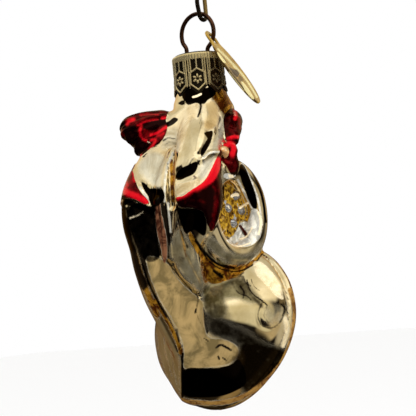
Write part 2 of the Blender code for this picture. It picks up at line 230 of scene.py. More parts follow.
def fieldGrid(parts, low, high, step, far=4.0, margin=1.5):
    # the joined field on a grid, each part worked out only round its own box
    axes = [np.arange(a, b, step, dtype=np.float32) for a, b in zip(low, high)]
    values = np.full([len(a) for a in axes], far, np.float32)
    for shape, blend in parts:
        reach = blend + margin
        box = zip(axes, shape["low"], shape["high"])
        cut = tuple(slice(*np.searchsorted(axis, (a - reach, b + reach))) for axis, a, b in box)
        x, y, z = np.meshgrid(*(axis[c] for axis, c in zip(axes, cut)), indexing="ij", sparse=True)
        values[cut] = smoothMin(values[cut], shape["distance"](x, y, z), blend)
    return axes, values


def netMesh(axes, values, step):
    # a quad mesh through the zero level of a field
    inside = values < 0
    size = [n - 1 for n in values.shape]

    def corner(grid, offset):
        return grid[tuple(slice(o, o + n) for o, n in zip(offset, size))]

    count = sum(corner(inside, o).astype(np.int8) for o in product((0, 1), repeat=3))
    cells = np.argwhere((count > 0) & (count < 8))
    number = np.full(size, -1)
    number[tuple(cells.T)] = np.arange(len(cells))
    total = np.zeros((len(cells), 3))
    share = np.zeros(len(cells))
    for axis in range(3):
        others = [k for k in range(3) if k != axis]
        for pair in product((0, 1), repeat=2):
            start = np.zeros(3, int)
            start[others] = pair
            end = start.copy()
            end[axis] = 1
            a, b = (values[tuple((cells + offset).T)] for offset in (start, end))
            crossing = (a < 0) != (b < 0)
            place = (cells + start).astype(float)
            place[:, axis] += np.where(crossing, a / np.where(crossing, a - b, 1), 0)
            total[crossing] += place[crossing]
            share[crossing] += 1
    points = total / share[:, None] * step + [a[0] for a in axes]
    faces = []
    for axis in range(3):
        b, c = (axis + 1) % 3, (axis + 2) % 3
        low = [slice(None)] * 3
        high = list(low)
        low[axis], high[axis] = slice(0, -1), slice(1, None)
        change = inside[tuple(low)] != inside[tuple(high)]
        for k, end in product((b, c), (0, -1)):
            edge = [slice(None)] * 3
            edge[k] = end
            change[tuple(edge)] = False
        edges = np.argwhere(change)
        outward = inside[tuple(edges.T)]
        corners = []
        for down, left in ((1, 1), (0, 1), (0, 0), (1, 0)):
            cell = edges.copy()
            cell[:, b] -= down
            cell[:, c] -= left
            corners.append(number[tuple(cell.T)])
        quad = np.stack(corners, 1)
        quad[~outward] = quad[~outward][:, ::-1]
        faces.append(quad)
    return points, np.vstack(faces)


def sampleGrid(axes, grid, points, step):
    # values between the grid's points
    place = [np.clip((points[:, k] - axes[k][0]) / step, 0, len(axes[k]) - 1.001) for k in range(3)]
    whole = [p.astype(int) for p in place]
    part = [p - w for p, w in zip(place, whole)]
    total = 0
    for corner in product((0, 1), repeat=3):
        weight = 1
        for k in range(3):
            weight = weight * (part[k] if corner[k] else 1 - part[k])
        value = grid[tuple(w + c for w, c in zip(whole, corner))]
        total = total + value * (weight[:, None] if value.ndim > 1 else weight)
    return total


def relaxed(points, faces, rounds, strength=0.5):
    # evens out the net by moving each point towards its neighbours
    pairs = np.vstack([faces[:, (k, (k + 1) % 4)] for k in range(4)])
    starts, ends = np.vstack([pairs, pairs[:, ::-1]]).T
    share = np.bincount(starts, minlength=len(points))[:, None]
    for _ in range(rounds):
        total = [np.bincount(starts, weights=points[ends, k], minlength=len(points)) for k in range(3)]
        points = points + (np.stack(total, 1) / share - points) * strength
    return points


print("shapes ready")

# The view that the paint's outlines are laid out in: picture points across and down, as the maker sees the piece

painter = {
    "bearing": -54.0, "rise": -4.0, "roll": 5.5,
    "aim": -1.1, "height": 55.8, "away": 330.0,
    "wide": 115.6, "picture": 416.0,
}
pointSize = painter["wide"] / painter["picture"]  # millimetres


def painterAxes():
    a, e, r = (math.radians(painter[k]) for k in ("bearing", "rise", "roll"))
    back = np.array((math.sin(a) * math.cos(e), -math.cos(a) * math.cos(e), math.sin(e)))
    level = np.array((math.cos(a), math.sin(a), 0.0))
    up = np.cross(back, level)
    right = level * math.cos(r) - up * math.sin(r)
    top = level * math.sin(r) + up * math.cos(r)
    eye = level * painter["aim"] + (0, 0, painter["height"]) + back * painter["away"]
    return right, top, back, eye


def wayTo(right, top, back, turn, rise):
    # the way so many degrees to the viewer's right and up
    a, e = math.radians(turn), math.radians(rise)
    return right * math.sin(a) * math.cos(e) + top * math.sin(e) + back * math.cos(a) * math.cos(e)


def painterPoints(points):
    right, top, back, eye = painterAxes()
    reach = -(points - eye) @ back
    focal = painter["away"] / painter["wide"] * painter["picture"]
    middle = painter["picture"] / 2
    across, up = ((points - eye) @ axis / reach * focal for axis in (right, top))
    return np.stack([middle + across, middle - up], 1)


def seenByPainter(points, faces, way, turnedAway=0.02, start=0.3):
    # which points nothing hides from the painter's eye
    right, top, back, eye = painterAxes()
    tree = BVHTree.FromPolygons([tuple(p) for p in points], [tuple(f) for f in faces.tolist()])
    seen = way @ back > turnedAway
    for i in np.flatnonzero(seen):
        origin = Vector(points[i] + way[i] * start)
        seen[i] = tree.ray_cast(origin, (Vector(eye) - origin).normalized())[0] is None
    return seen


def closeTo(flat, path, margin):
    return np.flatnonzero(((flat > path.min(0) - margin) & (flat < path.max(0) + margin)).all(1))


def insideOutline(flat, outline, steps=5, margin=12):
    # distance inside a closed outline, in millimetres, below zero outside it
    corners = smoothPath(np.reshape(outline, (-1, 2)), steps, closed=True)
    close = closeTo(flat, corners, margin)
    depth = np.full(len(flat), -1e3)
    depth[close] = -outlineDistance(*flat[close].T, [*corners, corners[0]]) * pointSize
    return depth


def strokeDistance(flat, stroke, reach, steps=6):
    # distance to an open line of picture points, in millimetres, measured only where it is within reach
    path = smoothPath(np.reshape(stroke, (-1, 2)), steps)
    close = closeTo(flat, path, reach / pointSize)
    x, y = flat[close].T
    away = np.full(len(flat), 1e9)
    away[close] = np.min([segmentDistance(x, y, a, b) for a, b in pairwise(path)], 0) * pointSize
    return away


def paintMask(flat, areas=(), lines=(), soft=0.3, steps=5):
    # 0 to 1 over the points, with edges that are soft over some millimetres
    mask = np.zeros(len(flat))
    for strength, outline in areas:
        mask = np.maximum(mask, strength * ease(-soft, soft, insideOutline(flat, outline, steps)))
    for half, strength, line in lines:
        mask = np.maximum(mask, strength * np.exp(-((strokeDistance(flat, line, 3 * half) / half) ** 2)))
    return mask


# The glass body: stations are x, front, height and radius in millimetres

glass = {
    "step": 0.42,
    "box": ((-27.5, -25.5, -1.5), (13.5, 25.5, 99.5)),
    "neckTop": 98.0,
    "boreRadius": 5.2,
    "boreDepth": 13.0,
    "shoulder": (
        (98.0, 6.2), (92.0, 6.2), (90.2, 6.3), (88.6, 6.75), (86.8, 7.4),
        (85.0, 8.0), (82.0, 8.0), (78.0, 7.2), (74.5, 5.6), (72.0, 2.6),
    ),
    "frontTube": (
        (-2.5, 1.5, 80.5, 6.0), (-8.5, 4.5, 75.0, 6.0), (-13.5, 6.8, 69.5, 6.0), (-16.4, 7.8, 63.0, 6.3),
        (-17.3, 8.0, 57.0, 6.4), (-17.8, 6.8, 51.5, 5.6), (-18.5, 4.8, 46.5, 4.4), (-17.4, 3.4, 41.0, 4.0),
        (-14.0, 1.8, 35.5, 3.4),
    ),
    "backTube": (
        (-2.5, -1.5, 80.5, 6.0), (-8.6, -4.6, 75.5, 5.6), (-13.2, -6.6, 70.3, 4.6), (-16.3, -7.9, 64.6, 5.3),
        (-18.4, -8.5, 58.5, 6.3), (-18.9, -8.2, 52.5, 6.5), (-18.5, -7.4, 46.5, 6.3), (-18.3, -6.6, 41.0, 6.3),
        (-16.9, -5.8, 35.0, 6.4), (-14.3, -4.6, 29.0, 6.7), (-11.5, -3.1, 22.5, 6.8), (-10.0, -2.1, 17.0, 5.4),
    ),
    "backLoop": ((-8.5, -7.0, 79.4, 4.2), (-12.4, -10.4, 79.0, 4.8), (-15.9, -12.2, 78.8, 3.9)),
    "backFold": ((-9.0, -7.0, 74.6, 4.2), (-13.4, -10.2, 74.6, 3.9)),
    "sideLoop": ((-3.4, 10.8, 73.2, 2.3), (-0.8, 9.6, 76.4, 2.8), (2.4, 7.8, 79.2, 3.0), (6.2, 5.2, 79.6, 2.6)),
    "shortTail": ((-6.0, 11.4, 68.6, 2.3), (-5.6, 11.0, 66.0, 2.9)),
    "knot": ((-6.3, 12.0, 69.9, 2.3),),
    "seamFill": (
        (-13.5, -0.3, 69.0, 3.4), (-17.8, -0.3, 60.0, 4.6), (-18.8, -0.8, 52.0, 4.6), (-19.2, -0.8, 45.0, 4.2),
    ),
    "grooveFill": ((-15.0, 5.5, 45.0, 3.2), (-11.5, 5.2, 40.4, 3.4), (-6.0, 5.0, 37.6, 3.4)),
    "fold": ((4.6, 4.4, 83.0, 2.6), (-0.6, 6.6, 76.8, 2.8), (-8.0, 9.0, 71.2, 2.3)),
    "web": ((-7.0, 0.0, 40.0, 7.0),),
    "topWeb": ((-3.0, 0.0, 69.0, 7.0),),
    # how wide each shape flows into the ones before it
    "flow": {
        "shoulder": 1.0, "frontTube": 1.6, "backTube": 0.9, "seamFill": 0.9, "fold": 0.9, "grooveFill": 1.2,
        "topWeb": 3.0, "web": 3.0, "bell": 1.8, "dish": 0.8, "rings": 0.9, "bumps": 0.4,
        "backLoop": 0.8, "backFold": 1.0, "sideLoop": 0.8, "shortTail": 0.8, "knot": 0.5,
    },
    "coil": {"x": -3.6, "height": 53.2, "front": 8.6, "radius": 11.8, "tube": 3.5, "dish": 7.0},
    "bumps": ((0.46, 0.42), (0.62, 0.08), (0.12, 0.14), (0.27, -0.22)),  # places in the dish, as shares of its radius
    "bumpSize": (1.5, 0.9, 1.1),
    "bell": {"x": 0.7, "height": 22.8, "radius": 23.4, "tilt": 15.0, "depth": 17.0, "lip": 1.5, "dish": 3.4},
    "bellFlat": {"share": 0.08, "angle": -48.0, "spread": 38.0},
    "bellProfile": ((0.09, 0.94), (0.14, 0.948), (0.3, 0.89), (0.5, 0.73), (0.7, 0.53), (0.88, 0.33), (1.0, 0.12)),
    "lipAngles": (20, 50, 80, 110, 140, 170, 190),
}


def bellReach(angle):
    # how far the bell reaches at an angle round its mouth, as a share of its radius
    flat = glass["bellFlat"]
    away = (np.degrees(angle) - flat["angle"] + 180) % 360 - 180
    return 1 - flat["share"] * np.exp(-((away / flat["spread"]) ** 2))


def behind(stations):
    return tuple((x, -front, *rest) for x, front, *rest in stations)


def glassParts():
    # the parts of the glass: shapes with the width over which each flows into the ones before it
    coil, bell, flow = (glass[key] for key in ("coil", "bell", "flow"))

    def part(key, face=tuple):
        stations = face(glass[key])
        if len(stations) == 1:
            return ballShape(stations[0][:3], [stations[0][3]] * 3), flow[key]
        return tubeShape(stations), flow[key]

    reach = bell["radius"] - bell["lip"]
    mouth = [(-bell["dish"] * math.cos(a), reach * math.sin(a)) for a in map(math.radians, range(0, 91, 15))]
    lip = onArc((0, reach), bell["lip"], glass["lipAngles"])
    back = [(-bell["depth"] * depth, bell["radius"] * radius) for depth, radius in glass["bellProfile"]]
    tilt = math.radians(bell["tilt"])
    axis = (math.cos(tilt), 0, -math.sin(tilt))
    bellShape = turnedShape(mouth + lip + back, spot(bell["x"], 0, bell["height"]), axis, pressed=bellReach)
    body = [(turnedShape(glass["shoulder"], (0, 0, 0), (0, 0, 1)), flow["shoulder"])]
    body += [part(key) for key in ("frontTube", "backTube", "seamFill", "fold", "grooveFill")]
    body += [part("grooveFill", behind), part("topWeb"), part("web"), (bellShape, flow["bell"])]
    dish = [(discShape((coil["x"], 0, coil["height"]), coil["radius"], coil["dish"]), flow["dish"])]
    rings, bumps = [], []
    for side in (1, -1):
        middle = (coil["x"], side * coil["front"], coil["height"])
        rings.append((hoopShape(middle, coil["radius"], coil["tube"]), flow["rings"]))
        for x, rise in glass["bumps"]:
            place = (coil["x"] + x * coil["radius"], side * coil["dish"], coil["height"] + rise * coil["radius"])
            bumps.append((ballShape(place, glass["bumpSize"]), flow["bumps"]))
    bow = [part("backLoop"), part("backFold")]
    bow += [part(key, face) for face in (tuple, behind) for key in ("sideLoop", "shortTail", "knot")]
    return {"body": body, "dish": dish, "rings": rings, "bumps": bumps, "bow": bow}


# The glass's paint, laid out one by one: every outline and line is a row of picture points, across and down in turn
paint = {
    # where the bow's paint may be, and the glitter in the dish
    "leftLoop": (168, 107, 150, 100, 112, 108, 112, 150, 128, 162, 136, 160, 150, 149, 160, 143, 167, 131, 166, 118),
    "leftTail": (136, 154, 133, 160, 133, 170, 136, 182, 140, 191, 149, 202, 144, 204, 134, 199, 112, 194, 108, 165),
    "rightTail": (221, 150, 215, 161, 209, 173, 203, 182, 190, 191, 183, 196, 176, 198, 180, 207, 192, 208, 203, 212,
        207, 224, 212, 231, 219, 216, 224, 190),
    "rightLoop": (217, 98, 250, 98, 250, 180, 222, 180, 217, 150),
    "glitter": (222, 180, 232, 177, 240, 182, 246, 195, 251, 205, 252, 213, 246, 220, 240, 222, 238, 228, 232, 237,
        225, 236, 219, 226, 217, 214, 220, 204, 223, 192),
    "outsideBow": -0.5,  # below zero keeps the red off what lies outside both loops
    "ringGap": 0.2,  # the red ends this far from the coils
    # how far behind the seam plane the left loop and tail begin, and in front of it the right tail
    "loopDepth": 2.0,
    "tailDepth": 1.0,
    # the round end of the left tail: radius, and its stretch along each axis
    "tailEnd": 5.0,
    "tailLobe": (1.0, 1.0, 1.35),
    "relief": 0.35,  # the thickness of the paint
    # where the paint's thickness and the bow's folds start and are full, inside their outlines
    "paintEdge": (-0.15, 0.35),
    "bowEdge": (-0.1, 0.3),
    "folds": (0.2, 0.06),  # heights of the folds in the left loops and in the rest of the bow
    "foldsSplit": -7.0,  # the left loops are beyond this x
    "glitterPast": (0.6, -0.5),  # how far the glitter goes up the rings, on the painter's side and behind
    "ripples": (1.9, 0.025),  # length and height of the glass's unevenness
    "seamHalf": 0.25,
    "seamHeight": 0.1,
    "turned": 0.25,  # how far glass faces the painter where the paint is full
    # amber in the hollows behind: strength, and how hollow where it starts and is full
    "hollowAmber": (0.75, 0.35, 1.0),
    # amber on the bell's lip: strength, and the distances from its middle where it starts to fade and is gone
    "lipAmber": (0.9, 1.5, 2.0),
    "lipDepth": -0.9,  # it starts this far behind the lip's middle
    "seamAmber": 0.45,
    "glowBehind": 0.5,  # how far the red is painted lit behind, where no highlights are laid out
}

# Flats pressed in the glass: degrees that each faces to the right and up, how far it is flattened, its outline
flats = (
    (19, 2, 0.75, (150, 264, 165, 261, 176, 275, 188, 290, 199, 300, 203, 318, 203, 338, 188, 342, 174, 322,
        160, 298)),
    (-16, 3, 0.7, (126, 208, 150, 205, 155, 220, 160, 245, 161, 259, 147, 261, 136, 240)),
    (-20, -14, 0.6, (172, 240, 180, 228, 190, 240, 199, 262, 206, 288, 196, 290, 182, 274, 170, 256)),
)

# Worked lines in the glass, sharp ridges or round: half width and height in millimetres, grooves are below zero
workedLines = (
    ("ridge", 3.6, 0.8, (148, 255, 158, 293, 172, 320, 182, 345, 184, 356, 184, 402)),
    ("round", 0.8, -0.5, (172, 156, 170, 170, 170, 190, 172, 206)),
    ("round", 0.9, 0.3, (165, 202, 165, 182, 168, 164, 173, 153)),
    ("round", 1.2, -0.5, (210, 131, 208, 142, 203, 154)), ("round", 0.8, 0.35, (202, 159, 210, 153, 219, 152)),
    ("round", 1.6, -0.5, (178, 177, 187, 172, 195, 166)), ("round", 0.8, -0.28, (165, 125, 170, 122, 176, 119)),
    ("round", 1.2, -0.35, (142, 184, 147, 190, 156, 194)), ("round", 1.4, 0.2, (192, 112, 190, 128, 193, 146)),
    ("round", 1.3, 0.18, (203, 116, 200, 132, 198, 150)),
    ("round", 0.9, -0.14, (262, 305, 258, 315, 262, 325, 272, 328, 281, 321, 284, 309)),
    ("round", 0.6, -0.06, (166, 259, 178, 275, 190, 289, 198, 298)),
    ("round", 1.1, 0.25, (172, 212, 178, 240, 190, 268)), ("round", 1.0, 0.22, (180, 210, 187, 238, 200, 268)),
)

# Marks on the glass, most of them painted reflections, painted highlights and painted shade, some amber lacquer:
# areas are strengths with outlines, lines are half widths in millimetres with strengths and points, and soft is how
# far an area's edge fades, in millimetres to each side
stainsAndPaintedLight = {
    # painted dark reflections and the painted shadow under the cap, with thin dark cracks; the same black makes the
    # flecks in the glitter
    "darkReflectionAndMarks": {
        "areas": (
            (1.0, (174, 176, 180, 169, 189, 164, 196, 161, 198, 165, 194, 173, 186, 177, 178, 180)),
            (1.0, (204, 133, 213, 130, 212, 140, 208, 148, 202, 156, 201, 150, 206, 141, 208, 137)),
            (1.0, (141, 182, 145, 183, 150, 188, 157, 189, 163, 190, 165, 198, 160, 204, 154, 207, 150, 203, 148, 196,
                144, 190)),
            (1.0, (182, 90, 192, 88, 204, 88, 216, 87, 215, 95, 208, 100, 204, 104, 196, 103, 189, 105, 185, 102,
                182, 96)),
            (0.9, (163, 124, 168, 121, 174, 117, 178, 119, 175, 123, 170, 126, 165, 127)),
            (1.0, (241, 164, 245, 167, 251, 181, 256, 196, 257, 208, 252, 207, 247, 196, 242, 182, 239, 171)),
            (0.6, (240, 227, 246, 230, 249, 238, 244, 236, 240, 231)),
            (0.62, (127, 209, 150, 206, 156, 215, 158, 240, 160, 258, 148, 262, 138, 250, 130, 230)),
            (0.8, (175, 205, 183, 208, 196, 208, 204, 213, 207, 226, 204, 236, 194, 230, 186, 234, 181, 222)),
            (0.9, (185, 369, 200, 368, 214, 368, 230, 365, 238, 359, 244, 368, 246, 382, 236, 391, 215, 397,
                186, 394)),
        ),
        "lines": (
            (0.4, 0.8, (199, 102, 201, 107, 198, 117)), (0.4, 0.6, (163, 141, 168, 138, 175, 139)),
            (0.4, 0.5, (165, 145, 170, 142, 176, 144)), (0.3, 0.7, (166, 259, 178, 275, 190, 289, 198, 297)),
            (0.3, 0.5, (198, 300, 196, 308, 198, 318, 203, 328, 205, 334)),
            (0.45, 0.8, (143, 264, 150, 283, 160, 303, 168, 316)), (0.45, 0.8, (184, 352, 184, 398)),
            (1.7, 0.9, (119, 190, 122, 212, 130, 245, 137, 268, 144, 285)),
            (0.4, 0.6, (158, 204, 161, 225, 163, 250)), (1.1, 1.0, (120, 199, 132, 204, 144, 208, 153, 210)),
            (0.5, 0.6, (262, 303, 258, 315, 262, 325, 272, 328, 281, 321, 285, 310, 283, 303)),
            (0.45, 0.5, (267, 306, 264, 316, 269, 323)), (0.45, 0.85, (216, 348, 220, 345, 224, 346, 231, 350)),
            (0.4, 0.8, (218, 356, 219, 359)), (0.4, 0.8, (223, 358, 226, 360)), (0.5, 0.7, (177, 328, 180, 340)),
            (0.4, 0.7, (240, 286, 244, 292, 243, 298)),
            (0.3, 0.8, (247, 280, 249, 288, 254, 295, 261, 300, 267, 305)),
            (0.25, 0.7, (243, 276, 246, 283, 251, 286)), (0.25, 0.7, (236, 290, 240, 294, 247, 296, 251, 300)),
            (0.22, 0.6, (251, 279, 254, 286, 260, 291)), (0.4, 0.7, (281, 304, 285, 309, 283, 315)),
            (0.3, 0.8, (204, 338, 208, 341)), (0.35, 0.8, (196, 309, 195, 313)),
            (0.4, 0.6, (196, 312, 198, 300, 197, 295)), (0.45, 0.95, (246, 160, 254, 175, 262, 196, 266, 222)),
            (0.4, 0.5, (229, 239, 237, 246, 246, 248, 256, 243, 262, 232)),
            (0.25, 0.7, (168, 164, 168, 180, 170, 200)), (0.25, 0.6, (174, 166, 174, 180, 174, 198)),
            (0.6, 0.8, (196, 241, 206, 254, 218, 264, 234, 268)),
            (0.3, 0.8, (199, 247, 210, 262, 224, 270, 240, 271, 254, 264, 262, 254)),
            (0.25, 0.6, (206, 262, 216, 271, 230, 276, 244, 273)), (0.7, 0.8, (214, 271, 222, 277)),
            (0.4, 0.6, (202, 262, 207, 272, 213, 280)), (0.5, 0.6, (176, 210, 181, 230, 188, 248)),
            (0.5, 0.7, (186, 210, 190, 226, 196, 240)), (0.5, 0.6, (166, 205, 168, 225, 170, 245)),
        ),
    },
    "amber": {
        "areas": (
            (0.95, (214, 88, 222, 88, 229, 93, 232, 104, 229, 119, 223, 113, 217, 105, 213, 97)),
            (1.0, (190, 231, 194, 236, 203, 249, 214, 261, 228, 266, 244, 265, 256, 257, 262, 250, 264, 253, 256, 262,
                246, 270, 236, 277, 225, 281, 213, 284, 204, 276, 202, 262, 195, 250, 189, 238)),
        ),
        "lines": (
            (0.5, 1.0, (171, 160, 171, 180, 172, 201)), (0.8, 0.95, (156, 300, 167, 318, 176, 335, 182, 350)),
            (1.5, 0.9, (134, 255, 142, 278, 152, 302, 158, 314)), (0.5, 0.6, (178, 222, 183, 240, 186, 256)),
            (0.8, 0.6, (156, 335, 158, 352, 164, 372, 172, 388)), (0.5, 0.5, (164, 338, 166, 355, 172, 376)),
            (0.6, 0.5, (170, 346, 173, 362, 178, 384)), (0.5, 0.5, (181, 352, 181, 396)),
            (0.7, 1.0, (180, 343, 182, 352)), (0.5, 0.7, (194, 176, 197, 179)),
        ),
    },
    # painted warm golden reflection over the throat and the bell's left side
    "warmReflection": {
        "soft": 0.5,
        "areas": (
            (0.9, (147, 260, 157, 257, 166, 262, 178, 279, 190, 291, 198, 297, 203, 304, 203, 318, 206, 332, 211, 338,
                222, 339, 233, 343, 239, 350, 238, 357, 231, 363, 222, 366, 205, 368, 186, 367, 184, 345, 172, 318,
                158, 294)),
        ),
        "lines": (
            (0.6, 0.6, (181, 236, 188, 258, 200, 282)),
        ),
    },
    "shade": {
        "soft": 1.6,
        "areas": (
            (0.85, (208, 330, 210, 318, 222, 318, 232, 324, 246, 329, 258, 338, 266, 344, 252, 350, 240, 346,
                228, 340, 214, 337)),
            (0.97, (237, 350, 244, 341, 262, 342, 284, 349, 288, 356, 278, 372, 262, 386, 246, 394, 238, 384,
                230, 368)),
            (0.6, (207, 303, 222, 303, 229, 312, 235, 322, 236, 328, 222, 332, 208, 330, 204, 316)),
            (0.55, (236, 276, 244, 280, 250, 288, 256, 298, 250, 302, 240, 296, 234, 288)),
        ),
        "lines": (
            (0.7, 0.7, (240, 274, 246, 284, 252, 296, 262, 306)), (0.6, 0.6, (232, 283, 238, 292, 246, 294)),
        ),
    },
    "rose": {
        "areas": (
            (1.0, (156, 200, 160, 198, 161, 210, 164, 225, 167, 240, 167, 258, 164, 263, 161, 250, 157, 232,
                155, 215)),
        ),
    },
    # painted olive reflections: the grey-olive cloud on the bell, strips round the coils and on the shoulder, mottled
    # by noise
    "oliveReflection": {
        "soft": 1.3,
        "areas": (
            (0.9, (201, 289, 206, 284, 218, 281, 232, 278, 243, 279, 251, 286, 262, 300, 256, 304, 246, 303, 236, 299,
                226, 300, 228, 308, 225, 317, 214, 319, 205, 312, 203, 302)),
            (0.5, (264, 306, 275, 303, 283, 308, 281, 319, 272, 325, 264, 318)),
            (0.7, (172, 240, 180, 228, 190, 240, 199, 262, 206, 290, 196, 290, 180, 272, 170, 255)),
            (0.75, (203, 236, 214, 238, 226, 248, 240, 254, 254, 252, 262, 244, 263, 249, 254, 260, 240, 265,
                226, 263, 212, 252)),
            (0.75, (220, 160, 224, 170, 225, 188, 223, 204, 219, 204, 220, 180)),
            (0.5, (214, 118, 222, 112, 228, 118, 224, 135, 219, 150, 212, 152, 209, 146, 215, 132)),
        ),
    },
    # painted bright cream reflections on the shoulder, near the bow and the slit, and along the bell's right edge
    "creamReflection": {
        "soft": 0.7,
        "areas": (
            (0.85, (202, 104, 207, 104, 208, 116, 206, 128, 201, 118)),
            (0.85, (170, 118, 178, 112, 188, 106, 192, 116, 186, 135, 181, 152, 174, 150, 168, 148, 158, 148,
                156, 142, 166, 132)),
            (0.85, (186, 103, 199, 104, 199, 112, 198, 120, 190, 116, 184, 110)),
            (0.6, (142, 160, 154, 148, 168, 147, 168, 162, 163, 186, 154, 187, 148, 184, 142, 178)),
            (0.95, (176, 183, 186, 182, 199, 177, 205, 169, 212, 160, 216, 158, 213, 168, 206, 178, 196, 187,
                182, 195, 176, 196)),
        ),
        "lines": (
            (0.9, 0.7, (285, 318, 287, 330, 283, 346)), (0.5, 0.6, (284, 290, 288, 304, 289, 316)),
            (0.5, 0.8, (218, 112, 222, 118, 219, 128)),
        ),
    },
    # painted tan shading on the shoulder and beside the slit
    "tanShade": {
        "soft": 1.0,
        "areas": (
            (0.9, (205, 104, 214, 101, 219, 110, 217, 126, 208, 130, 203, 126, 207, 114)),
            (0.5, (188, 104, 195, 107, 196, 118, 190, 124, 186, 116)),
            (0.5, (162, 152, 167, 149, 167, 168, 164, 186, 160, 187, 161, 168)),
        ),
    },
    # painted pale grey reflections near the bow, the slit and the shoulder
    "pearlReflection": {
        "soft": 1.2,
        "areas": (
            (0.75, (141, 160, 150, 152, 158, 152, 165, 158, 163, 172, 160, 187, 150, 184, 142, 176, 138, 168)),
            (0.55, (167, 130, 176, 126, 180, 136, 178, 152, 170, 150, 162, 150, 160, 144)),
            (0.75, (200, 166, 208, 159, 215, 157, 213, 166, 207, 177, 198, 180)),
            (0.6, (221, 114, 226, 120, 224, 134, 220, 148, 213, 151, 211, 146, 217, 132)),
        ),
    },
    # painted peach highlight on the bow's knot
    "peachHighlight": {
        "areas": (
            (0.95, (220, 149, 224, 146, 228, 148, 229, 153, 226, 158, 222, 155)),
        ),
    },
    # a gold band along the bell's lip: partly amber lacquer, partly painted reflection of light from below
    "rim": {
        "lines": (
            (0.8, 1.0, (185, 398, 195, 402, 210, 403, 225, 402, 240, 398, 256, 389, 270, 377, 282, 362, 290, 345,
                294, 325, 294, 305, 290, 290)),
        ),
    },
    "glint": {
        "areas": (
            (0.52, (253, 262, 262, 262, 273, 272, 282, 288, 284, 300, 276, 297, 266, 286, 255, 274)),
            (0.4, (233, 108, 235, 108, 237, 114, 236, 117, 233, 115)),
            (0.7, (228, 174, 233, 174, 234, 178, 229, 178)),
        ),
        "lines": (
            (0.35, 1.0, (193, 97, 197, 96, 201, 94)), (0.3, 0.6, (147, 141, 151, 144)),
            (0.6, 0.55, (130, 218, 136, 216, 143, 212)), (0.4, 0.7, (222, 149, 225, 148, 226, 151)),
            (0.5, 1.0, (232, 196, 236, 194, 238, 195)), (0.4, 0.9, (240, 208, 244, 205, 248, 203)),
            (0.35, 0.6, (228, 206, 230, 209)), (0.35, 0.6, (222, 233, 226, 228)),
            (0.4, 0.7, (240, 239, 247, 236, 252, 228)), (0.4, 0.7, (232, 244, 240, 246, 250, 243)),
            (0.5, 0.8, (258, 212, 261, 222, 259, 234)),
        ),
    },
    "crescent": {
        "lines": (
            (0.45, 1.0, (240, 226, 243, 230, 247, 236)),
        ),
    },
    # silver of the dish's lower wall, and painted silver-white highlights in the dish and along the slit, the flap
    # and the coils
    "silver": {
        "areas": (
            (0.9, (252, 209, 258, 210, 262, 222, 261, 236, 254, 244, 244, 247, 234, 246, 226, 240, 234, 239, 244, 239,
                249, 232, 247, 224, 250, 216)),
            (0.9, (224, 174, 232, 173, 236, 176, 230, 179, 224, 178)),
            (0.9, (230, 237, 238, 224, 247, 222, 250, 232, 244, 241, 234, 242)),
        ),
        "lines": (
            (0.6, 0.8, (140, 187, 144, 193, 148, 201)), (0.5, 0.7, (165, 202, 165, 182, 168, 164, 173, 153)),
            (0.45, 0.8, (203, 158, 210, 153, 218, 152)), (0.45, 0.9, (238, 180, 245, 194, 252, 208)),
            (0.45, 0.8, (242, 163, 250, 178, 258, 200, 262, 225)), (0.6, 0.7, (168, 203, 169, 215, 171, 232)),
            (0.5, 0.6, (220, 205, 216, 212)),
        ),
    },
    # painted highlights and shade on the red bow: high marks give lit red, low ones shaded red
    "glow": {
        "areas": (
            (0.3, (134, 158, 133, 170, 136, 182, 140, 191, 149, 202, 142, 200, 134, 196, 124, 193, 121, 186, 126, 174,
                131, 164)),
            (0.27, (126, 122, 130, 117, 140, 113, 155, 112, 166, 110, 168, 113, 166, 118, 155, 119, 147, 121,
                140, 126, 130, 126)),
            (0.3, (143, 129, 150, 130, 158, 128, 167, 124, 168, 130, 165, 137, 158, 144, 152, 148, 149, 147, 152, 141,
                146, 140, 142, 135)),
            (0.95, (219, 158, 219, 168, 214, 180, 207, 185, 200, 188, 190, 193, 184, 196, 192, 189, 203, 182,
                209, 173, 214, 162)),
            (0.22, (214, 180, 219, 178, 219, 200, 216, 216, 212, 230, 208, 226, 212, 208, 212, 192)),
            (0.26, (222, 158, 232, 158, 238, 162, 236, 172, 226, 172, 222, 166)),
            (0.22, (225, 118, 238, 115, 241, 130, 239, 138, 226, 137)),
        ),
        "lines": (
            (0.7, 0.75, (127, 124, 129, 121, 134, 119)), (0.5, 0.55, (140, 115, 150, 114, 158, 115)),
            (0.35, 0.65, (137, 126, 144, 122, 151, 120, 158, 119)), (0.5, 0.9, (162, 118, 167, 118)),
            (0.5, 1.0, (151, 135, 157, 134, 162, 131, 167, 127)),
            (0.55, 0.65, (141, 126, 140, 132, 142, 138, 147, 141)),
            (0.5, 0.75, (151, 141, 156, 140, 154, 145, 150, 150)), (0.6, 0.6, (158, 137, 164, 134)),
            (0.8, 0.3, (122, 130, 123, 136)), (0.5, 0.7, (136, 159, 142, 156)),
            (1.1, 1.0, (122, 185, 127, 192, 137, 197, 148, 203)), (0.5, 0.7, (134, 172, 135, 182)),
            (0.7, 0.7, (126, 178, 128, 186)),
            (1.2, 1.0, (217, 161, 213, 170, 210, 178, 203, 184, 195, 188, 186, 193, 179, 196)),
            (0.8, 0.27, (213, 186, 216, 200, 214, 215, 212, 226)), (0.8, 0.17, (181, 203, 195, 200, 206, 203)),
            (0.6, 1.0, (234, 108, 236, 114, 235, 119)), (0.6, 0.95, (228, 139, 233, 137, 239, 137)),
            (0.9, 1.0, (226, 145, 231, 143, 234, 148, 232, 155)), (0.6, 0.4, (239, 118, 240, 128)),
        ),
    },
}

